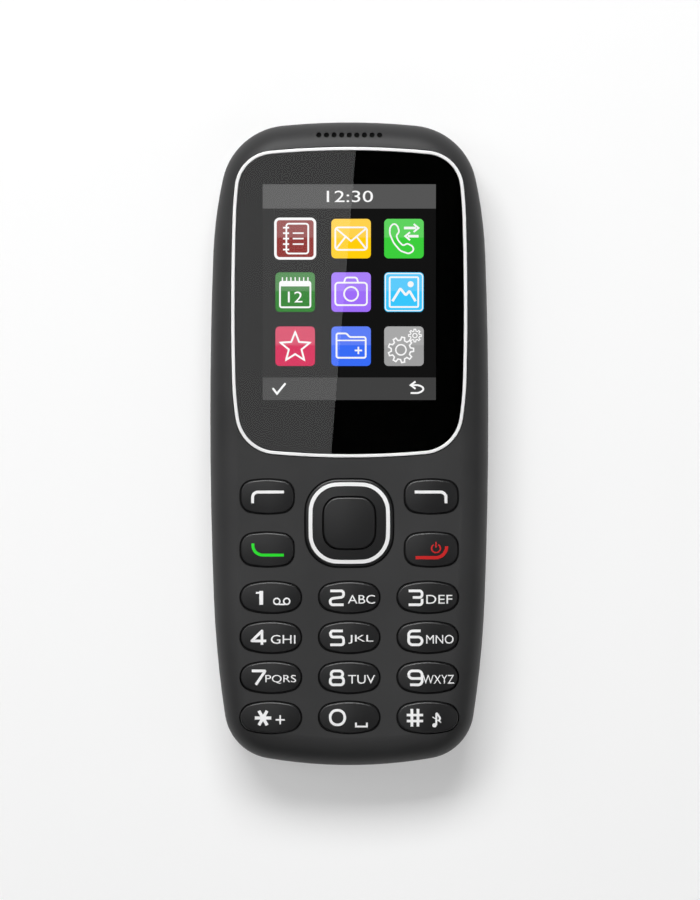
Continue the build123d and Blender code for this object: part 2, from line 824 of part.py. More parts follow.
# Keycaps: a crowned cap through the shell, a flange below it and a stem down to its dome
for name, (x, y, size) in keys.items():
    with BuildPart() as flange_plate:
        with BuildSketch(Plane.XY.offset(flange_z)):
            with Locations((x, y)):
                add(key_face(size, flange_reach))
        extrude(amount=flange_thickness)
        add(flange_form, mode=Mode.INTERSECT)
    with BuildPart() as keycap:
        with BuildSketch(Plane.XY.offset(flange_z)):
            with Locations((x, y)):
                add(key_face(size))
        extrude(amount=front_z - flange_z + key_rise)
        with Locations((x * (1 - key_lean_share), y, front_z + key_rise - key_crown_radius)):
            Sphere(key_crown_radius, mode=Mode.INTERSECT)
        fillet(keycap.faces().sort_by(Axis.Z)[-1].edges(), key_edge)
        add(flange_plate.part)
        with BuildSketch(Plane.XY.offset(stem_z)):
            with Locations((x, y)):
                Circle(stem_radius)
        extrude(amount=flange_z - stem_z)
    save(keycap, name)

# Four-way ring with two nubs, its inlay line, the centre key and the soft rocker below
nav_crown_z = front_z + key_rise - nav_crown_radius
inlay_z = front_z + key_rise - inlay_depth
with BuildPart() as nav_ring:
    with BuildSketch(Plane.XY.offset(nav_z)):
        with Locations((0, nav_y)):
            add(key_face(nav_outline))
    extrude(amount=front_z + key_rise - nav_z)
    with Locations((0, nav_y, nav_crown_z)):
        Sphere(nav_crown_radius, mode=Mode.INTERSECT)
    fillet(nav_ring.faces().sort_by(Axis.Z)[-1].edges(), key_edge)
    with BuildSketch(Plane.XY.offset(nav_z - overrun)):
        with Locations((0, nav_y)):
            add(key_face(ok_outline, key_gap))
    extrude(amount=front_z, mode=Mode.SUBTRACT)
    with BuildSketch(Plane.XY.offset(inlay_z)):
        with Locations((0, nav_y)):
            add(key_face(nav_outline, -inlay_inset))
            add(key_face(nav_outline, -inlay_inset - inlay_width), mode=Mode.SUBTRACT)
    extrude(amount=overrun, mode=Mode.SUBTRACT)
    with BuildSketch(Plane.XY.offset(nav_z)):
        with Locations((0, nav_y)):
            add(key_face(nav_outline, nav_flange_reach))
            add(key_face(ok_outline, key_gap), mode=Mode.SUBTRACT)
    extrude(amount=nav_flange_thickness)
    with BuildSketch(Plane.XY.offset(stem_z)):
        with Locations((nub_x, nav_y), (-nub_x, nav_y)):
            Rectangle(nav_nub, nav_nub_length)
    extrude(amount=nav_z - stem_z)
save(nav_ring, "nav_ring")

with BuildPart() as nav_trim:
    with BuildSketch(Plane.XY.offset(inlay_z)):
        with Locations((0, nav_y)):
            add(key_face(nav_outline, -inlay_inset))
            add(key_face(nav_outline, -inlay_inset - inlay_width), mode=Mode.SUBTRACT)
    extrude(amount=inlay_depth)
    with Locations((0, nav_y, nav_crown_z + inlay_rise)):
        Sphere(nav_crown_radius, mode=Mode.INTERSECT)
save(nav_trim, "nav_trim")

with BuildPart() as ok_key:
    with BuildSketch(Plane.XY.offset(ok_flange_top_z - flange_thickness)):
        with Locations((0, nav_y)):
            add(key_face(ok_outline))
    extrude(amount=front_z + ok_rise - ok_flange_top_z + flange_thickness)
    with Locations((0, nav_y, front_z + ok_rise - ok_crown_radius)):
        Sphere(ok_crown_radius, mode=Mode.INTERSECT)
    fillet(ok_key.faces().sort_by(Axis.Z)[-1].edges(), key_edge)
    with BuildSketch(Plane.XY.offset(ok_flange_top_z - flange_thickness)):
        with Locations((0, nav_y)):
            add(key_face(ok_outline, flange_reach))
    extrude(amount=flange_thickness)
    with BuildSketch(Plane.XY.offset(stem_z)):
        with Locations((0, nav_y)):
            Circle(stem_radius)
    extrude(amount=ok_flange_top_z - flange_thickness - stem_z)
save(ok_key, "ok_key")

with BuildPart() as nav_rocker:
    with BuildSketch(Plane.XY.offset(rocker_z)):
        with Locations((0, nav_y)):
            Rectangle(rocker_outer, rocker_outer)
            Rectangle(rocker_inner, rocker_inner, mode=Mode.SUBTRACT)
    extrude(amount=rocker_thickness)
    with BuildSketch(Plane.XY.offset(stem_z)):
        with Locations((0, nav_y + rocker_mid), (0, nav_y - rocker_mid)):
            Rectangle(nav_nub_length, nav_nub)
    extrude(amount=rocker_z - stem_z)
save(nav_rocker, "nav_rocker")

# Earpiece under the top edge, with the mesh behind the sound holes
with BuildPart() as earpiece_mesh:
    with BuildSketch(Plane.XY.offset(mesh_top_z - mesh_thickness)):
        with Locations((0, hole_y)):
            SlotOverall(hole_pitch * hole_count + mesh_margin, 2 * hole_radius + mesh_margin)
    extrude(amount=mesh_thickness)
save(earpiece_mesh, "earpiece_mesh")

earpiece_y = panel_y + backlight_length / 2 + earpiece_gap + earpiece_depth / 2
with BuildPart() as earpiece:
    with BuildSketch(Plane.XY.offset(board_top_z)):
        with Locations((0, earpiece_y)):
            RectangleRounded(earpiece_width, earpiece_depth, earpiece_depth / 4)
    extrude(amount=earpiece_height)
save(earpiece, "earpiece")

# Loudspeaker on its gasket, with two spring contacts up to the board
with BuildPart() as speaker_gasket:
    with BuildSketch(Plane.XY.offset(cavity_inset)):
        with Locations(speaker_place):
            Circle(speaker_radius)
            Circle(speaker_radius - gasket_width, mode=Mode.SUBTRACT)
    extrude(amount=gasket_thickness)
save(speaker_gasket, "speaker_gasket")

with BuildPart() as loudspeaker:
    with BuildSketch(Plane.XY.offset(cavity_inset + gasket_thickness)):
        with Locations(speaker_place):
            Circle(speaker_radius)
    extrude(amount=speaker_height)
    with BuildSketch(Plane.XY.offset(cavity_inset + gasket_thickness + speaker_height)):
        with Locations(speaker_place):
            with GridLocations(2 * speaker_post_offset, 0, 2, 1):
                Rectangle(speaker_post_width, speaker_post_width)
    extrude(amount=board_z - cavity_inset - gasket_thickness - speaker_height)
save(loudspeaker, "loudspeaker")

# Camera hanging from the board, its barrel in the rear shell's hole
with BuildPart() as camera_module:
    with BuildSketch(Plane.XY.offset(cavity_inset + camera_barrel_height)):
        with Locations((0, camera_y)):
            Rectangle(camera_size, camera_size)
    extrude(amount=board_z - cavity_inset - camera_barrel_height)
    with BuildSketch(Plane.XY.offset(tray_inset)):
        with Locations((0, camera_y)):
            Circle(camera_barrel_radius)
    extrude(amount=cavity_inset + camera_barrel_height - tray_inset)
    with BuildSketch(Plane.XY.offset(tray_inset)):
        with Locations((0, camera_y)):
            Circle(camera_lens_radius)
    extrude(amount=camera_lens_depth, mode=Mode.SUBTRACT)
save(camera_module, "camera_module")

with BuildPart() as vibration_motor:
    with BuildSketch(Plane.XY.offset(board_z - motor_height)):
        with Locations((motor_x, body_top - motor_from_top)):
            Circle(motor_radius)
    extrude(amount=motor_height)
save(vibration_motor, "vibration_motor")

with BuildPart() as microphone:
    with BuildSketch(Plane.XY.offset(board_z - mic_height)):
        with Locations((mic_x, body_bottom + mic_from_bottom)):
            Circle(mic_radius)
    extrude(amount=mic_height)
save(microphone, "microphone")

# Antenna carrier below the bay, on two feet up to the board
antenna_width = body_width - 2 * antenna_from_side
antenna_y = bay_y - bay_length / 2 - bay_wall - antenna_gap_to_bay - antenna_length / 2
with BuildPart() as antenna:
    with BuildSketch(Plane.XY.offset(cavity_inset)):
        with Locations((0, antenna_y)):
            Rectangle(antenna_width, antenna_length)
    extrude(amount=antenna_thickness)
    with BuildSketch(Plane.XY.offset(cavity_inset + antenna_thickness)):
        with Locations((0, antenna_y)):
            with GridLocations(antenna_width - 2 * antenna_foot_inset, 0, 2, 1):
                Rectangle(antenna_foot, antenna_foot)
    extrude(amount=board_z - cavity_inset - antenna_thickness)
save(antenna, "antenna")

# Headset socket: a block with a round collar that reaches the top end
with BuildPart() as headset_jack:
    with BuildSketch(Plane.XZ.offset(-jack_back_y)):
        with Locations((jack_x, jack_z)):
            Rectangle(jack_width, jack_height)
    extrude(amount=-jack_length)
    with BuildSketch(Plane.XZ.offset(-jack_back_y)):
        with Locations((jack_x, jack_z)):
            Circle(jack_collar_radius)
    extrude(amount=-jack_length - jack_collar_length)
    with BuildSketch(Plane.XZ.offset(-jack_back_y - overrun)):
        with Locations((jack_x, jack_z)):
            Circle(jack_bore)
    extrude(amount=-jack_length - jack_collar_length, mode=Mode.SUBTRACT)
save(headset_jack, "headset_jack")

# Charging and data socket: a folded shell with its tongue
usb_mouth_y = body_bottom + usb_recess
with BuildPart() as usb_port:
    with BuildSketch(Plane.XZ.offset(-usb_mouth_y)):
        with Locations((0, usb_z)):
            Rectangle(usb_width, usb_height)
    extrude(amount=-usb_length)
    chamfer(usb_port.edges().filter_by(Axis.Y).group_by(Axis.Z)[0], usb_chamfer)
    mouth = usb_port.faces().sort_by(Axis.Y)[0]
    offset(amount=-usb_wall, openings=mouth)
    with BuildSketch(Plane.XZ.offset(-usb_mouth_y - 2 * usb_wall)):
        with Locations((0, usb_z + usb_tongue_thickness / 2)):
            Rectangle(usb_tongue_width, usb_tongue_thickness)
    extrude(amount=-usb_length + 2 * usb_wall + usb_wall / 2)
save(usb_port, "usb_port")

# Four screws from the back, each with a cross recess
screw_top_z = ledge_z - screw_end_gap
with BuildPart() as housing_screws:
    with BuildSketch(Plane.XY.offset(screw_seat - screw_head_height)):
        with Locations(*screw_places):
            Circle(screw_head_radius)
    extrude(amount=screw_head_height)
    with BuildSketch(Plane.XY.offset(screw_seat)):
        with Locations(*screw_places):
            Circle(screw_radius)
    extrude(amount=screw_top_z - screw_seat)
    with BuildSketch(Plane.XY.offset(screw_seat - screw_head_height)):
        with Locations(*screw_places):
            Rectangle(2 * screw_drive_radius, screw_drive_radius / 2)
            Rectangle(screw_drive_radius / 2, 2 * screw_drive_radius)
    extrude(amount=screw_drive_depth, mode=Mode.SUBTRACT)
save(housing_screws, "housing_screws")

print(f"body {body_width:.2f} x {body_length:.2f} x {front_z:.2f} mm")
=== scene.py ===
# %% [markdown]
# # A small keypad phone, lying on its back
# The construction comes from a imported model, which is loaded first and never moved. This lesson gives
# it its looks: moulded plastic, a clear window printed black from behind, a lit display with pictures,
# and printed keys.

# %% Load the fixed model
import json
import math
import bmesh
import bpy
from mathutils import Matrix, Vector


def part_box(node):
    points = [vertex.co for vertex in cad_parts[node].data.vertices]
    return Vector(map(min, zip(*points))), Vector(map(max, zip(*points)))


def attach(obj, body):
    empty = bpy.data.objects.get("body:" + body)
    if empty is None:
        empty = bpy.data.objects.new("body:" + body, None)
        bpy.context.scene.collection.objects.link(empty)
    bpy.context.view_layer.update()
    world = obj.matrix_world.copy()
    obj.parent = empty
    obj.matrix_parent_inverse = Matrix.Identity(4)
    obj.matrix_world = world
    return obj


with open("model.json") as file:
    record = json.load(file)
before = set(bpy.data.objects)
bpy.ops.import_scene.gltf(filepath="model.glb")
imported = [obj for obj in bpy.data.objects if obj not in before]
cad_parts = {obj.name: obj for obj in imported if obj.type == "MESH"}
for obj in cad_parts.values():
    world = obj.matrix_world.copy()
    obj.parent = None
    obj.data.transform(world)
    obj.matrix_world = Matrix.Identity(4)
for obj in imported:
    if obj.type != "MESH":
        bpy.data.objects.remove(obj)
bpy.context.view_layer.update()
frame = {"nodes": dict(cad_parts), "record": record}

nodes = frame["nodes"]
print("pieces in the model:", len(nodes))

# %% [markdown]
# ## Units and small helpers
# The scene is in metres, and a phone is drawn in millimetres, so one value turns one into the other.
# Every operator acts on what is selected, so each helper starts by selecting nothing.

# %% Units and selection
MM = 0.001


def select_only(*objects):
    bpy.ops.object.select_all(action="DESELECT")
    for each in objects:
        each.select_set(True)
    bpy.context.view_layer.objects.active = objects[0]


def apply_modifier(piece, kind, **settings):
    """Adds a modifier, sets it and applies it."""
    select_only(piece)
    modifier = piece.modifiers.new(kind.lower(), kind)
    for key, value in settings.items():
        setattr(modifier, key, value)
    bpy.ops.object.modifier_apply(modifier=modifier.name)


# %% [markdown]
# ## Camera
# The photograph looks straight at the front, so the camera hangs above the phone. From near by, the
# low rim of the shell would come out at a smaller scale than the front face above it; from far away,
# with a long lens, it hardly does. The picture is 700 by 900 pixels, and one of its pixels is 0.1645 mm
# on the front face. The camera's height follows from these.

# %% Camera
PIXEL = 0.16447 * MM
PICTURE_HEIGHT = 900
FRAME_SHIFT = Vector((0.12, -1.03)) * MM
SHARP_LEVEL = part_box("front_housing")[1].z
LENS_LENGTH = 400
SENSOR = 36
NEAR_CLIP = 0.01

camera_data = bpy.data.cameras.new("camera")
camera_data.lens = LENS_LENGTH
camera_data.sensor_width = SENSOR
camera_data.clip_start = NEAR_CLIP
camera = bpy.data.objects.new("camera", camera_data)
bpy.context.scene.collection.objects.link(camera)
camera_height = PICTURE_HEIGHT * PIXEL * LENS_LENGTH / SENSOR + SHARP_LEVEL
camera.location = (FRAME_SHIFT.x, FRAME_SHIFT.y, camera_height)
bpy.context.scene.camera = camera
bpy.context.scene.view_settings.view_transform = "Standard"
print("camera height in mm:", round(camera_height / MM, 1))

# %% [markdown]
# ## Studio
# A white floor, a pale room that is dark overhead, and soft boxes at the sides. Dark overhead matters:
# the flat window sends the camera's line straight back up, so it shows whatever hangs there.
#
# The floor is white paint. Paint alone turns grey where the lamps are weak, and a floor that glows shows
# no shadow, so the two are mixed. Only what the camera sees of the floor glows, also in a mirror or
# through the window; what it lights is left to the paint.

# %% Floor
FLOOR_SIZE = 3.0
FLOOR_GAP = 0.02 * MM
FLOOR_WHITE = 0.98
FLOOR_GLOW = 0.4


def calculated(tree, operation, first, second=None):
    """A Math node with its inputs linked; the second may be left for a fixed number."""
    node = tree.nodes.new("ShaderNodeMath")
    node.operation = operation
    tree.links.new(first, node.inputs[0])
    if second:
        tree.links.new(second, node.inputs[1])
    return node


def floor_paint():
    """White paint, part of its brightness its own, so that the shadow stays soft."""
    paint = bpy.data.materials.new("floor_white")
    paint.use_nodes = True
    tree = paint.node_tree
    tree.nodes.clear()
    out = tree.nodes.new("ShaderNodeOutputMaterial")
    mix = tree.nodes.new("ShaderNodeMixShader")
    plain = tree.nodes.new("ShaderNodeBsdfDiffuse")
    plain.inputs["Color"].default_value = (FLOOR_WHITE, FLOOR_WHITE, FLOOR_WHITE, 1)
    glow = tree.nodes.new("ShaderNodeEmission")
    ray = tree.nodes.new("ShaderNodeLightPath").outputs
    direct = calculated(tree, "MAXIMUM", ray["Is Camera Ray"], ray["Is Glossy Ray"])
    seen = calculated(tree, "MAXIMUM", direct.outputs[0], ray["Is Transmission Ray"])
    share = calculated(tree, "MULTIPLY", seen.outputs[0])
    share.inputs[1].default_value = FLOOR_GLOW
    tree.links.new(share.outputs[0], mix.inputs["Fac"])
    tree.links.new(plain.outputs[0], mix.inputs[1])
    tree.links.new(glow.outputs[0], mix.inputs[2])
    tree.links.new(mix.outputs[0], out.inputs["Surface"])
    return paint


bpy.ops.object.select_all(action="DESELECT")
bpy.ops.mesh.primitive_plane_add(size=FLOOR_SIZE, location=(0, 0, -FLOOR_GAP))
floor = bpy.context.object
floor.name = "floor"
floor.data.materials.append(floor_paint())
print("floor below the phone by mm:", FLOOR_GAP / MM)

# %% [markdown]
# The room is the world's background. The direction of a ray gives its height, from -1 to 1, and a range
# of heights fades the room from pale at the sides to black overhead.

# %% Room light, pale at the sides and dark overhead
ROOM_LEVEL = 0.32
DARK_FROM = 0.72
DARK_AT = 0.86

world = bpy.data.worlds.new("room")
bpy.context.scene.world = world
world.use_nodes = True
tree = world.node_tree
background = tree.nodes["Background"]
direction = tree.nodes.new("ShaderNodeTexCoord")
split = tree.nodes.new("ShaderNodeSeparateXYZ")
fade = tree.nodes.new("ShaderNodeMapRange")
fade.inputs["From Min"].default_value = DARK_FROM
fade.inputs["From Max"].default_value = DARK_AT
fade.inputs["To Min"].default_value = ROOM_LEVEL
fade.inputs["To Max"].default_value = 0.0
tree.links.new(direction.outputs["Generated"], split.inputs[0])
tree.links.new(split.outputs["Z"], fade.inputs["Value"])
tree.links.new(fade.outputs["Result"], background.inputs["Strength"])
print("room level:", ROOM_LEVEL)

# %% [markdown]
# Each soft box is an area lamp. Its power is worked out from its size and a level, where 1 looks white,
# so that a lamp can be made larger without turning brighter. The far box lights the shell's top rim, as
# in the photograph.

# %% Soft boxes
SOFT_BOXES = (
    ("top_box", (-0.10, 0.50, 0.62), 0.6, 0.3, 12.0),
    ("left_box", (-0.55, 0.20, 0.60), 0.3, 0.6, 1.6),
    ("right_box", (0.55, -0.05, 0.60), 0.25, 0.6, 0.7),
    ("low_box", (0.05, -0.52, 0.60), 0.5, 0.2, 1.0),
)


def soft_box(name, place, width, height, level):
    """An area lamp that looks at the phone, its place and size in metres."""
    lamp = bpy.data.lights.new(name, "AREA")
    lamp.shape = "RECTANGLE"
    lamp.size = width
    lamp.size_y = height
    lamp.energy = level * math.pi * width * height
    box = bpy.data.objects.new(name, lamp)
    bpy.context.scene.collection.objects.link(box)
    box.location = place
    box.rotation_euler = (-Vector(place)).to_track_quat("-Z", "Y").to_euler()
    return box


for settings in SOFT_BOXES:
    soft_box(*settings)
print("soft boxes:", len(SOFT_BOXES))

# %% [markdown]
# One pale card overhead gives the window its slanting two-tone sheen. The photograph shows two points of
# the sheen's edge on the window. The mirrored line from the camera by way of each point is followed up to
# the card's height, which gives the two points that the card's edge runs through.

# %% The card above the window
CARD_HEIGHT = 2.2
CARD_WIDTH = 0.5
CARD_LENGTH = 0.8
CARD_LEVEL = 1.2
SHEEN_TOP = Vector((1.11, 48.3)) * MM
SHEEN_BOTTOM = Vector((-3.0, -1.85)) * MM

window_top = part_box("display_lens")[1].z
reach = (CARD_HEIGHT - window_top) / (camera_height - window_top)
spread = [point + (point - FRAME_SHIFT) * reach for point in (SHEEN_TOP, SHEEN_BOTTOM)]
edge = (spread[0] - spread[1]).normalized()
left = Vector((-edge.y, edge.x))
middle = (spread[0] + spread[1]) / 2 + left * CARD_WIDTH / 2
card = soft_box("window_card", (middle.x, middle.y, CARD_HEIGHT), CARD_WIDTH, CARD_LENGTH, CARD_LEVEL)
card.rotation_euler = (0, 0, math.atan2(edge.y, edge.x) - math.pi / 2)
print("card tilt in degrees:", round(math.degrees(card.rotation_euler.z), 1))

# %% [markdown]
# ## Finishes
# Moulded plastic is never one flat grey. Its mould leaves a fine grain that breaks up the gloss, and
# hands polish it unevenly. One recipe makes them all: a fine noise bumps the surface, and a broad one
# shifts colour and gloss a little. Numbers that stay the same go on the shader itself.

# %% A recipe for grained finishes
FINE_DETAIL = 3
BROAD_PATCH = 14
BROAD_DETAIL = 4
TINT_ENDS = (0.3, 0.7)
GLOSS_ENDS = (0.9, 1.12)
BUMP_STRENGTH = 0.5
SHELL_SPECULAR = 0.3


def shader_of(material):
    material.use_nodes = True
    return material.node_tree.nodes["Principled BSDF"]


def noise_of(tree, patch, detail):
    """Noise in the object's own space, its patches about so many millimetres wide."""
    place = tree.nodes.new("ShaderNodeTexCoord")
    noise = tree.nodes.new("ShaderNodeTexNoise")
    noise.inputs["Scale"].default_value = 1 / (patch * MM)
    noise.inputs["Detail"].default_value = detail
    tree.links.new(place.outputs["Object"], noise.inputs["Vector"])
    return noise.outputs["Fac"]


def grained(name, colour, roughness, grain=0.25, depth=0.004, shift=0.12, metallic=0.0, coat=0.0):
    """A finish with a fine bumped grain (both in millimetres) and a slow shift of colour and gloss."""
    material = bpy.data.materials.new(name)
    shader = shader_of(material)
    tree = material.node_tree
    fine = noise_of(tree, grain, FINE_DETAIL)
    broad = noise_of(tree, BROAD_PATCH, BROAD_DETAIL)
    tint = tree.nodes.new("ShaderNodeValToRGB")
    for stop, position, way in zip(tint.color_ramp.elements, TINT_ENDS, (-1, 1)):
        stop.position = position
        stop.color = [min(1, c * (1 + way * shift)) for c in colour] + [1]
    gloss = tree.nodes.new("ShaderNodeMapRange")
    gloss.inputs["To Min"].default_value = roughness * GLOSS_ENDS[0]
    gloss.inputs["To Max"].default_value = roughness * GLOSS_ENDS[1]
    bump = tree.nodes.new("ShaderNodeBump")
    bump.inputs["Strength"].default_value = BUMP_STRENGTH
    bump.inputs["Distance"].default_value = depth * MM
    tree.links.new(broad, tint.inputs["Fac"])
    tree.links.new(tint.outputs["Color"], shader.inputs["Base Color"])
    tree.links.new(broad, gloss.inputs["Value"])
    tree.links.new(gloss.outputs["Result"], shader.inputs["Roughness"])
    tree.links.new(fine, bump.inputs["Height"])
    tree.links.new(bump.outputs["Normal"], shader.inputs["Normal"])
    shader.inputs["Metallic"].default_value = metallic
    shader.inputs["Coat Weight"].default_value = coat
    return material


finishes = {
    "black_shell": grained("shell_plastic", (0.032, 0.032, 0.0325), 0.50, grain=0.22, depth=0.006),
    "black_cover": grained("cover_plastic", (0.028, 0.028, 0.0285), 0.55, grain=0.30, depth=0.012),
    "black_keys": grained("key_plastic", (0.010, 0.010, 0.0105), 0.34, grain=0.18, depth=0.003),
    "white_trim": grained("white_print", (0.92, 0.92, 0.92), 0.35, shift=0.02),
}
shader_of(finishes["black_shell"]).inputs["Specular IOR Level"].default_value = SHELL_SPECULAR
print("finishes outside:", len(finishes))

# %% [markdown]
# The window is hard clear plastic. It lets light through and mirrors a few percent of it, so it gets
# full transmission and the plastic's own index of refraction. A mix with transparency would show what
# lies below, but wouldn't mirror more at a slant, as this does by itself.

# %% The clear window
CLEAR_PATCH = 20
CLEAR_DETAIL = 2
CLEAR_TINT = 0.985
PLASTIC_INDEX = 1.49


def clear_window(name):
    """Hard clear plastic, polished, with the faintest uneven tint."""
    material = bpy.data.materials.new(name)
    shader = shader_of(material)
    tree = material.node_tree
    tint = tree.nodes.new("ShaderNodeValToRGB")
    tint.color_ramp.elements[0].color = (CLEAR_TINT, CLEAR_TINT, CLEAR_TINT, 1)
    tree.links.new(noise_of(tree, CLEAR_PATCH, CLEAR_DETAIL), tint.inputs["Fac"])
    tree.links.new(tint.outputs["Color"], shader.inputs["Base Color"])
    shader.inputs["Roughness"].default_value = 0
    shader.inputs["Transmission Weight"].default_value = 1
    shader.inputs["IOR"].default_value = PLASTIC_INDEX
    return material


finishes["lens"] = clear_window("window_plastic")
print("window index of refraction:", PLASTIC_INDEX)

# %% [markdown]
# The same recipe serves what lies inside. It shows through the holes, in the sockets and behind the
# cover: bare steel, a green board, rubber, tape, foam and the battery's wrap. Then each piece of the
# model gets the finish of its slot.

# %% Finishes inside, and all of them put on
finishes.update({
    "adhesive": grained("black_tape", (0.01, 0.01, 0.01), 0.7),
    "display": grained("display_glass", (0.006, 0.006, 0.007), 0.12, depth=0.0),
    "white_plastic": grained("white_frame", (0.72, 0.72, 0.70), 0.45),
    "flex": grained("amber_film", (0.42, 0.19, 0.04), 0.30),
    "board": grained("board_mask", (0.02, 0.12, 0.06), 0.30, grain=0.6, depth=0.02, coat=0.4),
    "steel": grained("bright_steel", (0.62, 0.61, 0.60), 0.28, grain=0.5, metallic=1.0),
    "dark_metal": grained("dark_metal", (0.05, 0.05, 0.05), 0.45, metallic=0.6),
    "silicone": grained("grey_silicone", (0.10, 0.10, 0.10), 0.60),
    "film": grained("dome_film", (0.60, 0.60, 0.58), 0.25),
    "foam": grained("black_foam", (0.02, 0.02, 0.02), 0.9, grain=0.3, depth=0.05),
    "battery_label": grained("battery_wrap", (0.33, 0.34, 0.36), 0.42, shift=0.05),
    "gold": grained("gold_contacts", (0.86, 0.62, 0.25), 0.25, metallic=1.0),
    "socket_plastic": grained("socket_plastic", (0.016, 0.016, 0.016), 0.38),
})
slots = {entry["node"]: entry["material_slot"] for entry in frame["record"]["subparts"]}
for name, node in nodes.items():
    node.data.materials.clear()
    node.data.materials.append(finishes[slots[name]])
print("finishes:", len(finishes))

# %% [markdown]
# ## Black print behind the window
# A phone window is printed black from behind, all but the display's opening, and that print makes the
# border so deep. First comes the cutter for the opening, a plain plate. The same helper makes the
# display's tiles later on, with round corners.

# %% Flat plates, and the cutter for the opening
DISPLAY_WIDTH = 28.5 * MM
DISPLAY_HEIGHT = 35.5 * MM
DISPLAY_BELOW_WINDOW_TOP = 5.51 * MM
CORNER_SEGMENTS = 8


def plate(name, centre, size, corner, low, high):
    """A thin plate: a plane, its corners bevelled round, extruded up."""
    bpy.ops.object.select_all(action="DESELECT")
    bpy.ops.mesh.primitive_plane_add(size=1, location=(0, 0, 0))
    piece = bpy.context.object
    piece.name = name
    place = Matrix.Translation((centre[0], centre[1], low)) @ Matrix.Diagonal((size[0], size[1], 1, 1))
    piece.data.transform(place)
    bpy.ops.object.mode_set(mode="EDIT")
    bpy.ops.mesh.select_all(action="SELECT")
    if corner:
        bpy.ops.mesh.bevel(offset=corner, segments=CORNER_SEGMENTS, affect="VERTICES")
        bpy.ops.mesh.select_all(action="SELECT")
    bpy.ops.mesh.extrude_region_move(TRANSFORM_OT_translate={"value": (0, 0, high - low)})
    bpy.ops.mesh.select_all(action="SELECT")
    bpy.ops.mesh.normals_make_consistent(inside=False)
    bpy.ops.object.mode_set(mode="OBJECT")
    return piece


window_low, window_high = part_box("display_lens")
display_y = window_high.y - DISPLAY_BELOW_WINDOW_TOP - DISPLAY_HEIGHT / 2
opening_size = (DISPLAY_WIDTH, DISPLAY_HEIGHT)
opening = plate("opening", (0, display_y), opening_size, 0, window_low.z - MM, window_high.z)
print("opening's middle in mm above the phone's:", round(display_y / MM, 2))

# %% [markdown]
# The print takes the window's own outline, so it starts as a copy of the window. Its points are pressed
# to two levels just inside the window's back face, and the opening is cut with a Boolean.

# %% The print
PRINT_GAP = 0.01 * MM
PRINT_THICKNESS = 0.01 * MM
PRINT_SHRINK = 0.998
PRINT_BLACK = (0.0015, 0.0015, 0.0016)
WELD = 0.001 * MM

window_middle = (window_low + window_high) / 2
select_only(nodes["display_lens"])
bpy.ops.object.duplicate()
mask = bpy.context.object
mask.name = "window_print"
mask.parent = None
for key in [key for key in mask.keys() if key.startswith("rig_")]:
    del mask[key]
bpy.ops.object.mode_set(mode="EDIT")
bpy.ops.mesh.select_all(action="SELECT")
bpy.ops.mesh.remove_doubles(threshold=WELD)
bpy.ops.object.mode_set(mode="OBJECT")
for vertex in mask.data.vertices:
    level = window_low.z + PRINT_GAP + (PRINT_THICKNESS if vertex.co.z > window_middle.z else 0)
    flat = window_middle + (vertex.co - window_middle) * PRINT_SHRINK
    vertex.co = (flat.x, flat.y, level)
apply_modifier(mask, "BOOLEAN", object=opening, operation="DIFFERENCE", solver="EXACT")
bpy.data.objects.remove(opening)
mask.data.materials.clear()
mask.data.materials.append(grained("black_back_print", PRINT_BLACK, 0.6, depth=0.0))
shader_of(mask.data.materials[0]).inputs["Specular IOR Level"].default_value = 0.0
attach(mask, "phone")
print("print faces:", len(mask.data.polygons))

# %% [markdown]
# ## The lit display
# The display gives its own light, so each colour on it is an emission, its base black and without
# gloss. A display's colours are known as six-digit codes, which are turned into linear light first.

# %% Glowing colours
SCREEN_LEVEL = 1.08


def hex_colour(code):
    """A linear colour from a six-digit code, by the sRGB curve."""
    parts = [int(code[i:i + 2], 16) / 255 for i in (0, 2, 4)]
    return [part / 12.92 if part <= 0.04045 else ((part + 0.055) / 1.055) ** 2.4 for part in parts]


def glowing(name, code, start=0, climb=60 * MM, paler=0.001):
    """A lit colour that turns a share paler from the height start upward."""
    material = bpy.data.materials.new(name)
    shader = shader_of(material)
    tree = material.node_tree
    place = tree.nodes.new("ShaderNodeTexCoord")
    split = tree.nodes.new("ShaderNodeSeparateXYZ")
    rise = tree.nodes.new("ShaderNodeMapRange")
    tint = tree.nodes.new("ShaderNodeMix")
    tint.data_type = "RGBA"
    colour = hex_colour(code)
    rise.inputs["From Min"].default_value = start
    rise.inputs["From Max"].default_value = start + climb
    tint.inputs[6].default_value = colour + [1]
    tint.inputs[7].default_value = [c + (1 - c) * paler for c in colour] + [1]
    tree.links.new(place.outputs["Object"], split.inputs[0])
    tree.links.new(split.outputs["Y"], rise.inputs["Value"])
    tree.links.new(rise.outputs["Result"], tint.inputs[0])
    tree.links.new(tint.outputs[2], shader.inputs["Emission Color"])
    shader.inputs["Emission Strength"].default_value = SCREEN_LEVEL
    shader.inputs["Base Color"].default_value = (0, 0, 0, 1)
    shader.inputs["Specular IOR Level"].default_value = 0
    return material


print("F4F4F4 in linear light:", round(hex_colour("F4F4F4")[0], 3))

# %% [markdown]
# The lit face lies just inside the window's back face, as on a display that is bonded to its window:
# with air between, a second mirror image would lie over the picture. First come the plain areas: the
# ground, the title bar and the foot.

# %% The plain areas
SCREEN_THICKNESS = 0.03 * MM
BONDED_GAP = 0.006 * MM
TITLE_HEIGHT = 4.0 * MM
FOOT_HEIGHT = 3.7 * MM
GROUND_MARGIN = 0.5 * MM


def screen_piece(piece, material):
    piece.data.materials.clear()
    piece.data.materials.append(material)
    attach(piece, "phone")


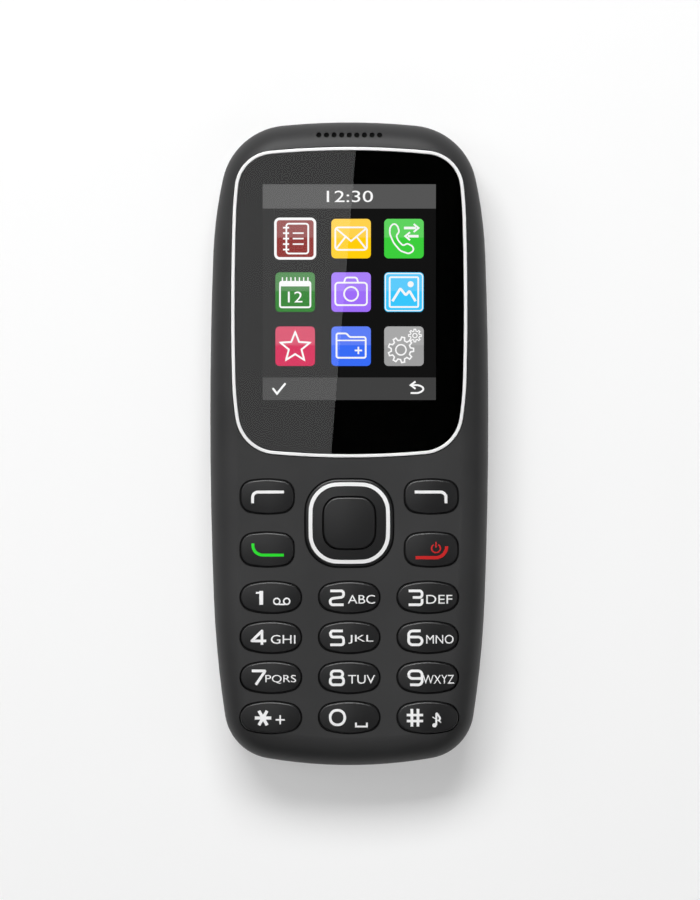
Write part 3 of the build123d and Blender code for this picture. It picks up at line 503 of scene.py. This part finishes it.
layer = window_low.z + BONDED_GAP
tile_top = layer + SCREEN_THICKNESS
title_y = display_y + DISPLAY_HEIGHT / 2 - TITLE_HEIGHT / 2
foot_y = display_y - DISPLAY_HEIGHT / 2 + FOOT_HEIGHT / 2
ground_size = (DISPLAY_WIDTH + 2 * GROUND_MARGIN, DISPLAY_HEIGHT + 2 * GROUND_MARGIN)
ground = plate("screen_ground", (0, display_y), ground_size, 0, layer - SCREEN_THICKNESS, layer)
screen_piece(ground, glowing("screen_ground", "121212"))
title = plate("screen_title", (0, title_y), (DISPLAY_WIDTH, TITLE_HEIGHT), 0, layer, tile_top)
screen_piece(title, glowing("screen_title", "545454"))
foot = plate("screen_foot", (0, foot_y), (DISPLAY_WIDTH, FOOT_HEIGHT), 0, layer, tile_top)
screen_piece(foot, glowing("screen_foot", "404040"))
print("display in mm:", DISPLAY_WIDTH / MM, "by", DISPLAY_HEIGHT / MM)

# %% [markdown]
# Nine tiles with round corners carry the pictures. The lower half of a tile has its full colour, and its
# upper half is a little paler, which is how a display draws a glossy button.

# %% Tiles
TILE = 6.5 * MM
TILE_CORNER = 0.7 * MM
TILE_COLUMNS = (-8.9, 0.3, 9.0)
TILE_ROWS = (33.75, 24.95, 16.05)
TILE_CODES = ("861208", "FDCB0C", "3CCB3C", "127A12", "9C6CF5", "38C4F8", "D01050", "386AF2", "9C9C9C")
GLOSS_ABOVE_MIDDLE = 0.1 * MM
GLOSS_EDGE = 0.15 * MM
GLOSS_SHARE = 0.07

tile_places = [(x * MM, y * MM) for y in TILE_ROWS for x in TILE_COLUMNS]
for number, (place, code) in enumerate(zip(tile_places, TILE_CODES), 1):
    tile = plate(f"tile_{number}", place, (TILE, TILE), TILE_CORNER, layer, tile_top)
    gloss_start = place[1] + GLOSS_ABOVE_MIDDLE
    screen_piece(tile, glowing(f"tile_{number}", code, gloss_start, GLOSS_EDGE, GLOSS_SHARE))
print("tiles:", len(tile_places))

# %% [markdown]
# ## Lines as flat bands
# All the drawn lines, on the display and later on the keys, are flat bands of even width along a path. A
# path is a short list of corners, and each corner is then rounded by a Bezier curve. The first path goes
# round the chosen tile.

# %% Paths
ROUND_HANDLE = 0.5523
ROUND_PARTS = 8
CIRCLE_PARTS = 24


def rounded(points, radius, closed=False):
    """The path with its corners rounded; a corner may use all of an end's straight."""
    points = [Vector(p) for p in points]
    count = len(points)
    path = []
    for i, corner in enumerate(points):
        if not closed and i in (0, count - 1):
            path.append(corner)
            continue
        before = points[i - 1] - corner
        after = points[(i + 1) % count] - corner
        room_before = before.length if i == 1 and not closed else before.length / 2
        room_after = after.length if i == count - 2 and not closed else after.length / 2
        cut = min(radius, room_before, room_after)
        start = corner + before.normalized() * cut
        end = corner + after.normalized() * cut
        one = start.lerp(corner, ROUND_HANDLE)
        two = end.lerp(corner, ROUND_HANDLE)
        for k in range(ROUND_PARTS + 1):
            t = k / ROUND_PARTS
            near = start * (1 - t) ** 3 + one * 3 * t * (1 - t) ** 2
            path.append(near + two * 3 * t**2 * (1 - t) + end * t**3)
    return path


def arc(centre, radius, start, turn):
    """Points on a circle, the angles in degrees."""
    angles = [math.radians(start + turn * k / CIRCLE_PARTS) for k in range(CIRCLE_PARTS + 1)]
    return [(centre[0] + radius * math.cos(a), centre[1] + radius * math.sin(a)) for a in angles]


def box_path(x, y, width, height):
    return [(x - width / 2, y - height / 2), (x + width / 2, y - height / 2),
            (x + width / 2, y + height / 2), (x - width / 2, y + height / 2)]


frame_path = rounded(box_path(*tile_places[0], TILE, TILE), TILE_CORNER, True)
print("points round the chosen tile:", len(frame_path))

# %% [markdown]
# A curve object with a bevel would give round wires, and printed lines are flat. So a path is cut into
# short steps, and each of its points gets one vertex on either side. The short steps let a band follow a
# curved key later on. Where a path turns, the band is widened so that its sides stay even.

# %% Bands along a path
STEP = 0.3 * MM
SAME_POINT = 0.0001 * MM
SHARPEST_MITRE = 0.5
FRAME_LINE = 0.42 * MM


def stepped(path, closed):
    """The path without doubled points, its long stretches cut into short steps."""
    path = [Vector(p) for p in path]
    path = [p for i, p in enumerate(path) if i == 0 or (p - path[i - 1]).length > SAME_POINT]
    if closed and (path[0] - path[-1]).length < SAME_POINT:
        path.pop()
    if closed:
        path.append(path[0].copy())
    fine = [path[0]]
    for a, b in zip(path, path[1:]):
        pieces = max(1, math.ceil((b - a).length / STEP))
        fine += [a.lerp(b, (k + 1) / pieces) for k in range(pieces)]
    if closed:
        fine.pop()
    return fine


def band(path, width, level, closed=False):
    """A flat band of even width along a path of (x, y) points, facing up."""
    fine = stepped(path, closed)
    count = len(fine)
    mesh = bmesh.new()
    sides = []
    for i, point in enumerate(fine):
        ahead = fine[(i + 1) % count] if closed or i < count - 1 else point
        behind = fine[i - 1] if closed or i > 0 else point
        one = (ahead - point).normalized() if (ahead - point).length else (point - behind).normalized()
        two = (point - behind).normalized() if (point - behind).length else one
        along = (one + two).normalized()
        across = Vector((-along.y, along.x)) * width / 2
        across /= max(SHARPEST_MITRE, along.dot(one))
        sides.append([mesh.verts.new((*(point + across), level)), mesh.verts.new((*(point - across), level))])
    pairs = list(zip(sides, sides[1:])) + ([(sides[-1], sides[0])] if closed else [])
    for (a, b), (c, d) in pairs:
        mesh.faces.new((a, b, d, c))
    data = bpy.data.meshes.new("band")
    mesh.to_mesh(data)
    mesh.free()
    piece = bpy.data.objects.new("band", data)
    bpy.context.scene.collection.objects.link(piece)
    return piece


marks = [band(frame_path, FRAME_LINE, tile_top, True)]
print("faces of the first band:", len(marks[0].data.polygons))

# %% [markdown]
# ## Pictures on the tiles
# They are plain pictures of this lesson's own, drawn in millimetres from the middle of a tile. The first
# row has a book, a letter and a handset with two arrows.

# %% Book, letter and handset
LINE = 0.28


def draw(tile_number, path, width=LINE, radius=0.0, closed=False):
    """A band on a tile; the path is in millimetres from the tile's middle."""
    x, y = tile_places[tile_number]
    placed = [(x + px * MM, y + py * MM) for px, py in path]
    if radius:
        placed = rounded(placed, radius * MM, closed)
    marks.append(band(placed, width * MM, tile_top, closed))


def arrow(tile_number, tail, tip, y, width):
    """A level arrow with a filled shaft and an open head."""
    way = 1 if tip > tail else -1
    draw(tile_number, [(tail, y), (tip - way * width, y)], width)
    draw(tile_number, [(tip - way * 0.8, y + 0.65), (tip, y), (tip - way * 0.8, y - 0.65)], width * 0.7)


draw(0, box_path(0.35, 0, 3.6, 4.9), radius=0.4, closed=True)
for rung in range(5):
    draw(0, [(-2.0, 1.8 - rung * 0.9), (-1.0, 1.8 - rung * 0.9)])
for rung in range(3):
    draw(0, [(-0.4, 0.9 - rung * 0.9), (1.4, 0.9 - rung * 0.9)], 0.24)
draw(1, box_path(0, 0, 5.2, 3.7), radius=0.5, closed=True)
draw(1, [(-2.4, 1.6), (0, -0.4), (2.4, 1.6)])
for way in (-1, 1):
    draw(1, [(way * 2.4, -1.6), (way * 0.9, 0.3)])
handset = [(-2.3, 1.9), (-1.7, 2.5), (-1.1, 2.2), (-0.75, 1.1), (-1.3, 0.5), (-0.9, -0.4), (-0.1, -1.2),
           (0.5, -0.75), (1.5, -1.3), (1.6, -2.0), (0.8, -2.5), (-0.6, -2.0), (-1.7, -0.7), (-2.35, 0.8)]
draw(2, handset, 0.26, 0.35, True)
arrow(2, 0.0, 2.4, 1.75, 0.42)
arrow(2, 2.4, 0.2, 0.4, 0.42)
print("marks so far:", len(marks))

# %% [markdown]
# The second row has a month sheet, a camera, and a framed picture of hills and a sun. Words and figures
# come from a text object that is turned into a mesh and stretched between four lines.

# %% Month sheet, camera and framed picture
LETTER_CURVE = 4
DAY_ASIDE = 1.2 * MM
DAY_BASE = -1.7 * MM
DAY_TOP = 0.1 * MM


def word(text, left, right, base, top, level):
    """Flat lettering in the built-in face, fitted between four lines."""
    bpy.ops.object.select_all(action="DESELECT")
    bpy.ops.object.text_add(location=(0, 0, 0))
    piece = bpy.context.object
    piece.data.body = text
    piece.data.resolution_u = LETTER_CURVE
    bpy.ops.object.convert(target="MESH")
    piece = bpy.context.object
    xs = [v.co.x for v in piece.data.vertices]
    ys = [v.co.y for v in piece.data.vertices]
    scale_x = (right - left) / (max(xs) - min(xs))
    scale_y = (top - base) / (max(ys) - min(ys))
    for v in piece.data.vertices:
        v.co = (left + (v.co.x - min(xs)) * scale_x, base + (v.co.y - min(ys)) * scale_y, level)
    return piece


def dot(centre, radius, level, corners=CIRCLE_PARTS):
    """A flat round spot, or a flat shape with a few corners."""
    bpy.ops.object.select_all(action="DESELECT")
    bpy.ops.mesh.primitive_circle_add(vertices=corners, radius=radius, fill_type="NGON", location=(0, 0, 0))
    piece = bpy.context.object
    piece.data.transform(Matrix.Translation((centre[0], centre[1], level)))
    return piece


draw(3, box_path(0, -0.4, 5.0, 4.2), closed=True, radius=0.3)
draw(3, [(-2.4, 1.35), (2.4, 1.35)], 0.8)
for column in range(7):
    draw(3, [(-2.1 + column * 0.7, 1.6), (-2.1 + column * 0.7, 2.45)], 0.2)
day_x, day_y = tile_places[3]
marks.append(word("12", day_x - DAY_ASIDE, day_x + DAY_ASIDE, day_y + DAY_BASE, day_y + DAY_TOP, tile_top))
draw(4, box_path(0, -0.3, 5.2, 3.7), closed=True, radius=0.5)
draw(4, [(-1.2, 1.5), (-0.9, 2.4), (0.9, 2.4), (1.2, 1.5)], radius=0.3)
draw(4, arc((0, -0.3), 1.15, 0, 360), closed=True)
draw(5, box_path(0, 0, 6.1, 6.1), 0.16, closed=True, radius=0.5)
draw(5, box_path(0, 0, 4.7, 4.9), closed=True, radius=0.2)
draw(5, [(-1.9, -1.5), (-0.6, 0.6), (0.3, -0.5), (0.9, 0.2), (1.9, -1.5)], 0.4, 0.2)
sun_x, sun_y = tile_places[5]
marks.append(dot((sun_x + 1.1 * MM, sun_y + 1.3 * MM), 0.5 * MM, tile_top))
print("marks so far:", len(marks))

# %% [markdown]
# The third row has a star, a folder with a plus sign, and two toothed wheels. Stars and wheels are
# outlines whose radius goes in and out as the angle goes round.

# %% Star, folder and toothed wheels
STAR_TIPS = 5
STAR_OUT = 2.55
STAR_IN = 1.1
STAR_DROP = 0.2
TOOTH_SHARES = (-0.30, -0.17, 0.17, 0.30)


def toothed(x, y, inner, outer, teeth):
    """The outline of a toothed wheel."""
    outline = []
    for step in range(teeth):
        for share, radius in zip(TOOTH_SHARES, (inner, outer, outer, inner)):
            angle = 2 * math.pi * (step + share) / teeth
            outline.append((x + radius * math.cos(angle), y + radius * math.sin(angle)))
    return outline


star_outline = []
for step in range(2 * STAR_TIPS):
    radius = STAR_OUT if step % 2 == 0 else STAR_IN
    angle = math.pi * (0.5 + step / STAR_TIPS)
    star_outline.append((radius * math.cos(angle), radius * math.sin(angle) - STAR_DROP))
draw(6, star_outline, 0.3, closed=True)
folder = [(-2.4, -1.9), (2.4, -1.9), (2.4, 1.5), (-0.3, 1.5), (-0.7, 2.1), (-2.4, 2.1)]
draw(7, folder, radius=0.3, closed=True)
draw(7, [(-2.4, 0.95), (2.4, 0.95)], 0.22)
draw(7, [(0.6, -0.7), (1.8, -0.7)], 0.26)
draw(7, [(1.2, -1.3), (1.2, -0.1)], 0.26)
for x, y, hub, inner, outer, teeth, line in ((-0.5, -0.6, 0.85, 1.6, 2.1, 9, 0.24),
                                             (1.8, 1.75, 0.36, 0.75, 1.05, 8, 0.18)):
    draw(8, toothed(x, y, inner, outer, teeth), line, closed=True)
    draw(8, arc((x, y), hub, 0, 360), line, closed=True)
print("marks so far:", len(marks))

# %% [markdown]
# A clock stands in the title bar, and a tick and a back arrow in the foot. Then all the marks become one
# piece: they share one colour and never move apart. Flat marks have no inside, so their faces are
# turned up one by one, and Solidify gives them a little height.

# %% Clock and signs, then all the marks in one piece
CLOCK_LEFT = -3.7 * MM
CLOCK_RIGHT = 3.9 * MM
CLOCK_RISE = 0.95 * MM
TICK_LINE = 0.34 * MM
BACK_LINE = 0.3 * MM
BACK_CORNER = 0.5 * MM
MARK_RISE = 0.01 * MM


def joined(name, pieces):
    """Flat marks made one piece, facing up."""
    for each in pieces:
        each.data.materials.clear()
    select_only(*pieces)
    if len(pieces) > 1:
        bpy.ops.object.join()
    piece = bpy.context.object
    piece.name = name
    bpy.ops.object.mode_set(mode="EDIT")
    bpy.ops.mesh.select_all(action="SELECT")
    bpy.ops.mesh.remove_doubles(threshold=WELD)
    bpy.ops.mesh.select_all(action="SELECT")
    bpy.ops.mesh.normals_make_consistent(inside=False)
    bpy.ops.object.mode_set(mode="OBJECT")
    for face in piece.data.polygons:
        if face.normal.z < 0:
            face.flip()
    return piece


def in_foot(path):
    """A path in millimetres, placed at the height of the foot's signs."""
    return [(x * MM, foot_y + y * MM) for x, y in path]


marks.append(word("12:30", CLOCK_LEFT, CLOCK_RIGHT, title_y - CLOCK_RISE, title_y + CLOCK_RISE, tile_top))
tick = in_foot([(-12.6, 0.1), (-11.9, -0.8), (-10.5, 0.9)])
back_stem = in_foot([(10.1, -0.7), (11.6, -0.7), (12.4, 0.0), (11.6, 0.6), (10.0, 0.6)])
back_head = in_foot([(10.9, 1.2), (10.1, 0.6), (10.9, 0.0)])
marks.append(band(tick, TICK_LINE, tile_top))
marks.append(band(rounded(back_stem, BACK_CORNER), BACK_LINE, tile_top))
marks.append(band(back_head, BACK_LINE, tile_top))
signs = joined("screen_signs", marks)
apply_modifier(signs, "SOLIDIFY", thickness=MARK_RISE, offset=1)
screen_piece(signs, glowing("screen_signs", "F4F4F4"))
print("screen marks:", len(signs.data.polygons), "faces")

# %% [markdown]
# ## Printed keys
# The figures are printed white on the crowned caps. Each figure is a few strokes with rounded corners
# on a square grid, which gives the wide, squared look of this keypad. The marks are drawn flat above the
# cap and dropped on it with Shrinkwrap, so that they follow its crown, then given the ink's thickness.
# Where strokes cross, each lies a hair higher than the one before, or their faces would fight.

# %% Ink on a key
INK = 0.012 * MM
INK_SEAT = INK / 4
OVERLAP_STEP = 0.002 * MM
DRAWN_ABOVE = 0.2 * MM
white_ink = grained("white_ink", (0.92, 0.92, 0.92), 0.5, shift=0.03)


def key_marks(node, strokes, spots=(), words=()):
    """Strokes (path, width, corner, closed), spots and words, in millimetres from the key's middle."""
    low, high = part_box(node)
    middle = (low + high) / 2
    above = high.z + DRAWN_ABOVE
    pieces = []
    for path, width, corner, closed in strokes:
        placed = [(middle.x + x * MM, middle.y + y * MM) for x, y in path]
        if corner:
            placed = rounded(placed, corner * MM, closed)
        pieces.append(band(placed, width * MM, above, closed))
    for x, y, radius, *corners in spots:
        pieces.append(dot((middle.x + x * MM, middle.y + y * MM), radius * MM, above, *corners))
    for text, left, right, base, top in words:
        pieces.append(word(text, middle.x + left * MM, middle.x + right * MM, middle.y + base * MM,
                           middle.y + top * MM, above))
    for number, piece in enumerate(pieces):
        lift = piece.data.attributes.new("lift", "FLOAT", "POINT")
        for item in lift.data:
            item.value = number * OVERLAP_STEP
    return pieces


def ink_on(node, pieces, material):
    """Flat marks dropped on a key's top and given the ink's thickness."""
    body = f"{node}_cap"
    piece = joined(f"ink_{node}", pieces)
    apply_modifier(piece, "SHRINKWRAP", target=nodes[node], wrap_method="PROJECT", use_project_z=True,
                   use_negative_direction=True, use_positive_direction=False, offset=INK_SEAT,
                   wrap_mode="ABOVE_SURFACE")
    lift = piece.data.attributes["lift"]
    for vertex, item in zip(piece.data.vertices, lift.data):
        vertex.co.z += item.value
    piece.data.attributes.remove(lift)
    apply_modifier(piece, "SOLIDIFY", thickness=INK, offset=1)
    piece.data.materials.clear()
    piece.data.materials.append(material)
    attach(piece, body)
    print(piece.name, "faces:", len(piece.data.polygons))


# %% [markdown]
# A figure is written on a square of one by one, which one width and one height then stretch. Its corners
# are rounded by a share of that width.

# %% Figures as strokes
FIGURES = {
    "1": [[(0.0, 0.86), (0.26, 0.86)], [(0.40, 1.0), (0.40, 0.0)]],
    "2": [[(0, 1), (1, 1), (1, 0.56), (0, 0.44), (0, 0), (1, 0)]],
    "3": [[(0, 1), (1, 1), (1, 0.53), (0.3, 0.53)], [(1, 0.433), (1, 0), (0, 0)]],
    "4": [[(0.76, 0), (0.76, 1), (0, 0.28), (0.66, 0.28)], [(0.86, 0.28), (1.08, 0.28)]],
    "5": [[(0.95, 1), (0.02, 1), (0.02, 0.56), (1, 0.56), (1, 0), (0, 0)]],
    "6": [[(0.9, 1), (0, 1), (0, 0), (1, 0), (1, 0.56), (0.1, 0.56)]],
    "7": [[(0, 1), (1, 1), (0.3, 0)]],
    "8": [[(0.5, 0.54), (0.93, 0.54), (0.93, 1), (0.07, 1), (0.07, 0.54), (0.5, 0.54)],
          [(0.5, 0), (1, 0), (1, 0.54), (0, 0.54), (0, 0), (0.5, 0)]],
    "9": [[(0.1, 0), (1, 0), (1, 1), (0, 1), (0, 0.46), (0.9, 0.46)]],
    "0": [[(0.5, 0), (1.08, 0), (1.08, 1.05), (0, 1.05), (0, 0), (0.5, 0)]],
}
CORNER_SHARES = {"0": 0.5, "6": 0.3, "8": 0.24, "9": 0.3, "4": 0.02, "7": 0.05, "1": 0.0}
USUAL_CORNER_SHARE = 0.2
print("strokes in all:", sum(len(strokes) for strokes in FIGURES.values()))

# %% [markdown]
# Letters follow on eight of the keys; each entry says where they start and end, in millimetres from the
# key's middle. The one has two small rings on a bar instead, and the nought a low bracket.

# %% Digit keys
LETTERS = {
    "2": ("ABC", -0.25, 4.25),
    "3": ("DEF", -0.25, 4.05),
    "4": ("GHI", 0.0, 4.05),
    "5": ("JKL", -0.15, 3.95),
    "6": ("MNO", -0.25, 4.25),
    "7": ("PQRS", -0.9, 4.15),
    "8": ("TUV", -0.2, 4.25),
    "9": ("WXYZ", -0.82, 4.35),
}
FIGURE_LEFT = -3.13
FIGURE_BASE = -1.22
FIGURE_WIDTH = 2.2
FIGURE_HEIGHT = 2.28
FIGURE_LINE = 0.44
ONE_LEFT = -2.45
ONE_LINES = (0.3, 0.62)
LETTER_BASE = -1.04
LETTER_HEIGHT = 1.44
RING_LINE = 0.24
ring_signs = [(arc((x, -0.65), 0.5, 0, 360), RING_LINE, 0, True) for x in (0.98, 2.62)]
ring_signs.append(([(1.25, -1.15), (2.35, -1.15)], RING_LINE, 0, False))
bracket = [(1.1, -0.85), (1.1, -1.5), (2.9, -1.5), (2.9, -0.85)]
EXTRA_SIGNS = {"1": ring_signs, "0": [(bracket, 0.3, 0, False)]}

for figure, strokes in FIGURES.items():
    node = f"key_{figure}"
    left = ONE_LEFT if figure == "1" else FIGURE_LEFT
    lines = ONE_LINES if figure == "1" else [FIGURE_LINE] * len(strokes)
    corner = CORNER_SHARES.get(figure, USUAL_CORNER_SHARE) * FIGURE_WIDTH
    drawn = []
    for stroke, line in zip(strokes, lines):
        placed = [(left + x * FIGURE_WIDTH, FIGURE_BASE + y * FIGURE_HEIGHT) for x, y in stroke]
        drawn.append((placed, line, corner, False))
    drawn += EXTRA_SIGNS.get(figure, [])
    words = []
    if figure in LETTERS:
        text, start, end = LETTERS[figure]
        words.append((text, start, end, LETTER_BASE, LETTER_BASE + LETTER_HEIGHT))
    ink_on(node, key_marks(node, drawn, (), words), white_ink)

# %% [markdown]
# The star is six arms round a small hexagon, with a plus beside it. The hash is two posts and, between
# and beside them, short rails that only touch the posts, with a note beside it.

# %% Star and hash
STAR_ARMS = 6
STAR_X = -1.53
STAR_Y = -0.1
STAR_ARM = 1.36
STAR_LINE = 0.52
PLUS_LINE = 0.26
HEXAGON_SHARE = 0.866

star = []
near = STAR_LINE * HEXAGON_SHARE
for arm in range(STAR_ARMS):
    angle = 2 * math.pi * arm / STAR_ARMS
    x, y = math.cos(angle), math.sin(angle)
    path = [(STAR_X + x * near, STAR_Y + y * near), (STAR_X + x * STAR_ARM, STAR_Y + y * STAR_ARM)]
    star.append((path, STAR_LINE, 0, False))
for path in ([(1.3, -1.14), (1.3, -0.52)], [(1.3, -0.26), (1.3, 0.36)], [(0.55, -0.39), (2.05, -0.39)]):
    star.append((path, PLUS_LINE, 0, False))
star_pieces = key_marks("key_star", star, [(STAR_X, STAR_Y, STAR_LINE, STAR_ARMS)])
ink_on("key_star", star_pieces, white_ink)

HASH_X = -1.86
HASH_Y = -0.1
HASH_POST = 0.46
HASH_RAIL = 0.42
POST_OUT = 0.5
RAIL_OUT = 0.49
RAIL_END = 1.35

gate = []
inner, outer = POST_OUT - HASH_POST / 2, POST_OUT + HASH_POST / 2
for way in (-1, 1):
    gate.append(([(HASH_X + way * POST_OUT, -1.5), (HASH_X + way * POST_OUT, 1.4)], HASH_POST, 0, False))
    for start, end in ((-RAIL_END, -outer), (-inner, inner), (outer, RAIL_END)):
        rail_y = HASH_Y + way * RAIL_OUT
        gate.append(([(HASH_X + start, rail_y), (HASH_X + end, rail_y)], HASH_RAIL, 0, False))
gate.append(([(1.65, -1.3), (1.65, 0.75), (2.3, -0.1), (2.1, -0.55)], 0.32, 0.2, False))
gate.append(([(1.0, 0.1), (2.45, -0.85)], 0.16, 0, False))
gate_pieces = key_marks("key_hash", gate, [(1.35, -1.3, 0.36)])
ink_on("key_hash", gate_pieces, white_ink)

# %% [markdown]
# Above the digits lie four more keys. The soft keys have a hook each, one the other's mirror image. The
# call key has a green hook, and the end key a red one with the small sign of a power switch.

# %% Soft keys, call and end
HOOK = 0.48
END_HOOK = 0.54
POWER_LINE = 0.22
green_ink = grained("green_ink", hex_colour("10E01A"), 0.5, shift=0.03)
red_ink = grained("red_ink", hex_colour("CC0A0A"), 0.5, shift=0.03)

for node, way in (("soft_key_left", -1), ("soft_key_right", 1)):
    hook = [(way * 2.4, -1.10), (way * 2.4, 0.74), (-way * 2.74, 0.74)]
    ink_on(node, key_marks(node, [(hook, HOOK, 0.9, False)]), white_ink)
call_hook = [(-2.35, 1.0), (-2.35, -0.91), (2.74, -0.91)]
ink_on("call_key", key_marks("call_key", [(call_hook, HOOK, 1.6, False)]), green_ink)
end_marks = [
    ([(-2.58, -1.33), (2.5, -1.33), (2.5, 0.55)], END_HOOK, 1.8, False),
    (arc((0.76, 0.2), 0.72, 120, 300), POWER_LINE, 0, False),
    ([(0.76, 0.3), (0.76, 1.25)], POWER_LINE, 0, False),
]
ink_on("end_key", key_marks("end_key", end_marks), red_ink)

# %% [markdown]
# ## Small things on the other sides
# The data socket has five gold contacts on its tongue: thin plates in a row, joined to one piece.

# %% Socket contacts
CONTACT_COUNT = 5
CONTACT_PITCH = 0.65 * MM
CONTACT_SIZE = (0.3 * MM, 2.0 * MM)
CONTACT_CORNER = 0.05 * MM
CONTACT_THICKNESS = 0.04 * MM
CONTACT_BELOW_MIDDLE = 0.03 * MM
CONTACT_INWARD = 1.6 * MM

port_low, port_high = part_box("usb_port")
contact_y = port_low.y + CONTACT_INWARD
contact_z = (port_low.z + port_high.z) / 2 - CONTACT_BELOW_MIDDLE
contacts = []
for number in range(CONTACT_COUNT):
    x = (number - (CONTACT_COUNT - 1) / 2) * CONTACT_PITCH
    contacts.append(plate(f"contact_{number}", (x, contact_y), CONTACT_SIZE, CONTACT_CORNER,
                          contact_z, contact_z + CONTACT_THICKNESS))
select_only(*contacts)
bpy.ops.object.join()
contacts = bpy.context.object
contacts.name = "socket_contacts"
contacts.data.materials.append(finishes["gold"])
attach(contacts, "phone")
print("contact faces:", len(contacts.data.polygons))

# %% [markdown]
# The camera behind its window shows as a dark glass dome, the lower half of a flattened sphere. The
# sphere is cut through its middle, and the cut is closed.

# %% Camera glass
GLASS_RADIUS = 1.1 * MM
GLASS_FLATTENED = 0.3
GLASS_INWARD = 0.4 * MM
SMOOTH_BELOW = 40

camera_low, camera_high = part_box("camera_module")
camera_middle = (camera_low + camera_high) / 2
bpy.ops.object.select_all(action="DESELECT")
bpy.ops.mesh.primitive_uv_sphere_add(segments=32, ring_count=16, radius=GLASS_RADIUS, location=(0, 0, 0))
glass = bpy.context.object
glass.name = "camera_glass"
bpy.ops.object.mode_set(mode="EDIT")
bpy.ops.mesh.select_all(action="SELECT")
bpy.ops.mesh.bisect(plane_co=(0, 0, 0), plane_no=(0, 0, 1), clear_outer=True, use_fill=True)
bpy.ops.object.mode_set(mode="OBJECT")
glass.data.transform(Matrix.Translation((camera_middle.x, camera_middle.y, camera_low.z + GLASS_INWARD))
                     @ Matrix.Diagonal((1, 1, GLASS_FLATTENED, 1)))
bpy.ops.object.shade_smooth_by_angle(angle=math.radians(SMOOTH_BELOW))
glass.data.materials.append(grained("camera_glass", (0.01, 0.012, 0.02), 0.04, depth=0.0, coat=1.0))
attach(glass, "phone")
print("camera glass faces:", len(glass.data.polygons))

# %% [markdown]
# The battery carries its two polarity signs, which show when the cover comes off. They are bands again,
# and lie just under the wrap's lower face.

# %% Battery signs
SIGN_APART = 4
SIGN_LINE = 0.4 * MM
SIGNS_BELOW_TOP = 8 * MM

battery_low, battery_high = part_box("battery")
battery_y = battery_high.y - SIGNS_BELOW_TOP
level_stroke = [(-1, 0), (1, 0)]
upright_stroke = [(0, -1), (0, 1)]
strokes = []
for x, path in ((-SIGN_APART, level_stroke), (SIGN_APART, level_stroke), (SIGN_APART, upright_stroke)):
    placed = [((x + px) * MM, battery_y + py * MM) for px, py in path]
    strokes.append(band(placed, SIGN_LINE, battery_low.z))
polarity = joined("battery_signs", strokes)
apply_modifier(polarity, "SOLIDIFY", thickness=INK, offset=1)
polarity.data.transform(Matrix.Translation((0, 0, -INK)))
polarity.data.materials.append(grained("label_ink", (0.03, 0.03, 0.03), 0.5))
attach(polarity, "phone")
print("battery sign faces:", len(polarity.data.polygons))
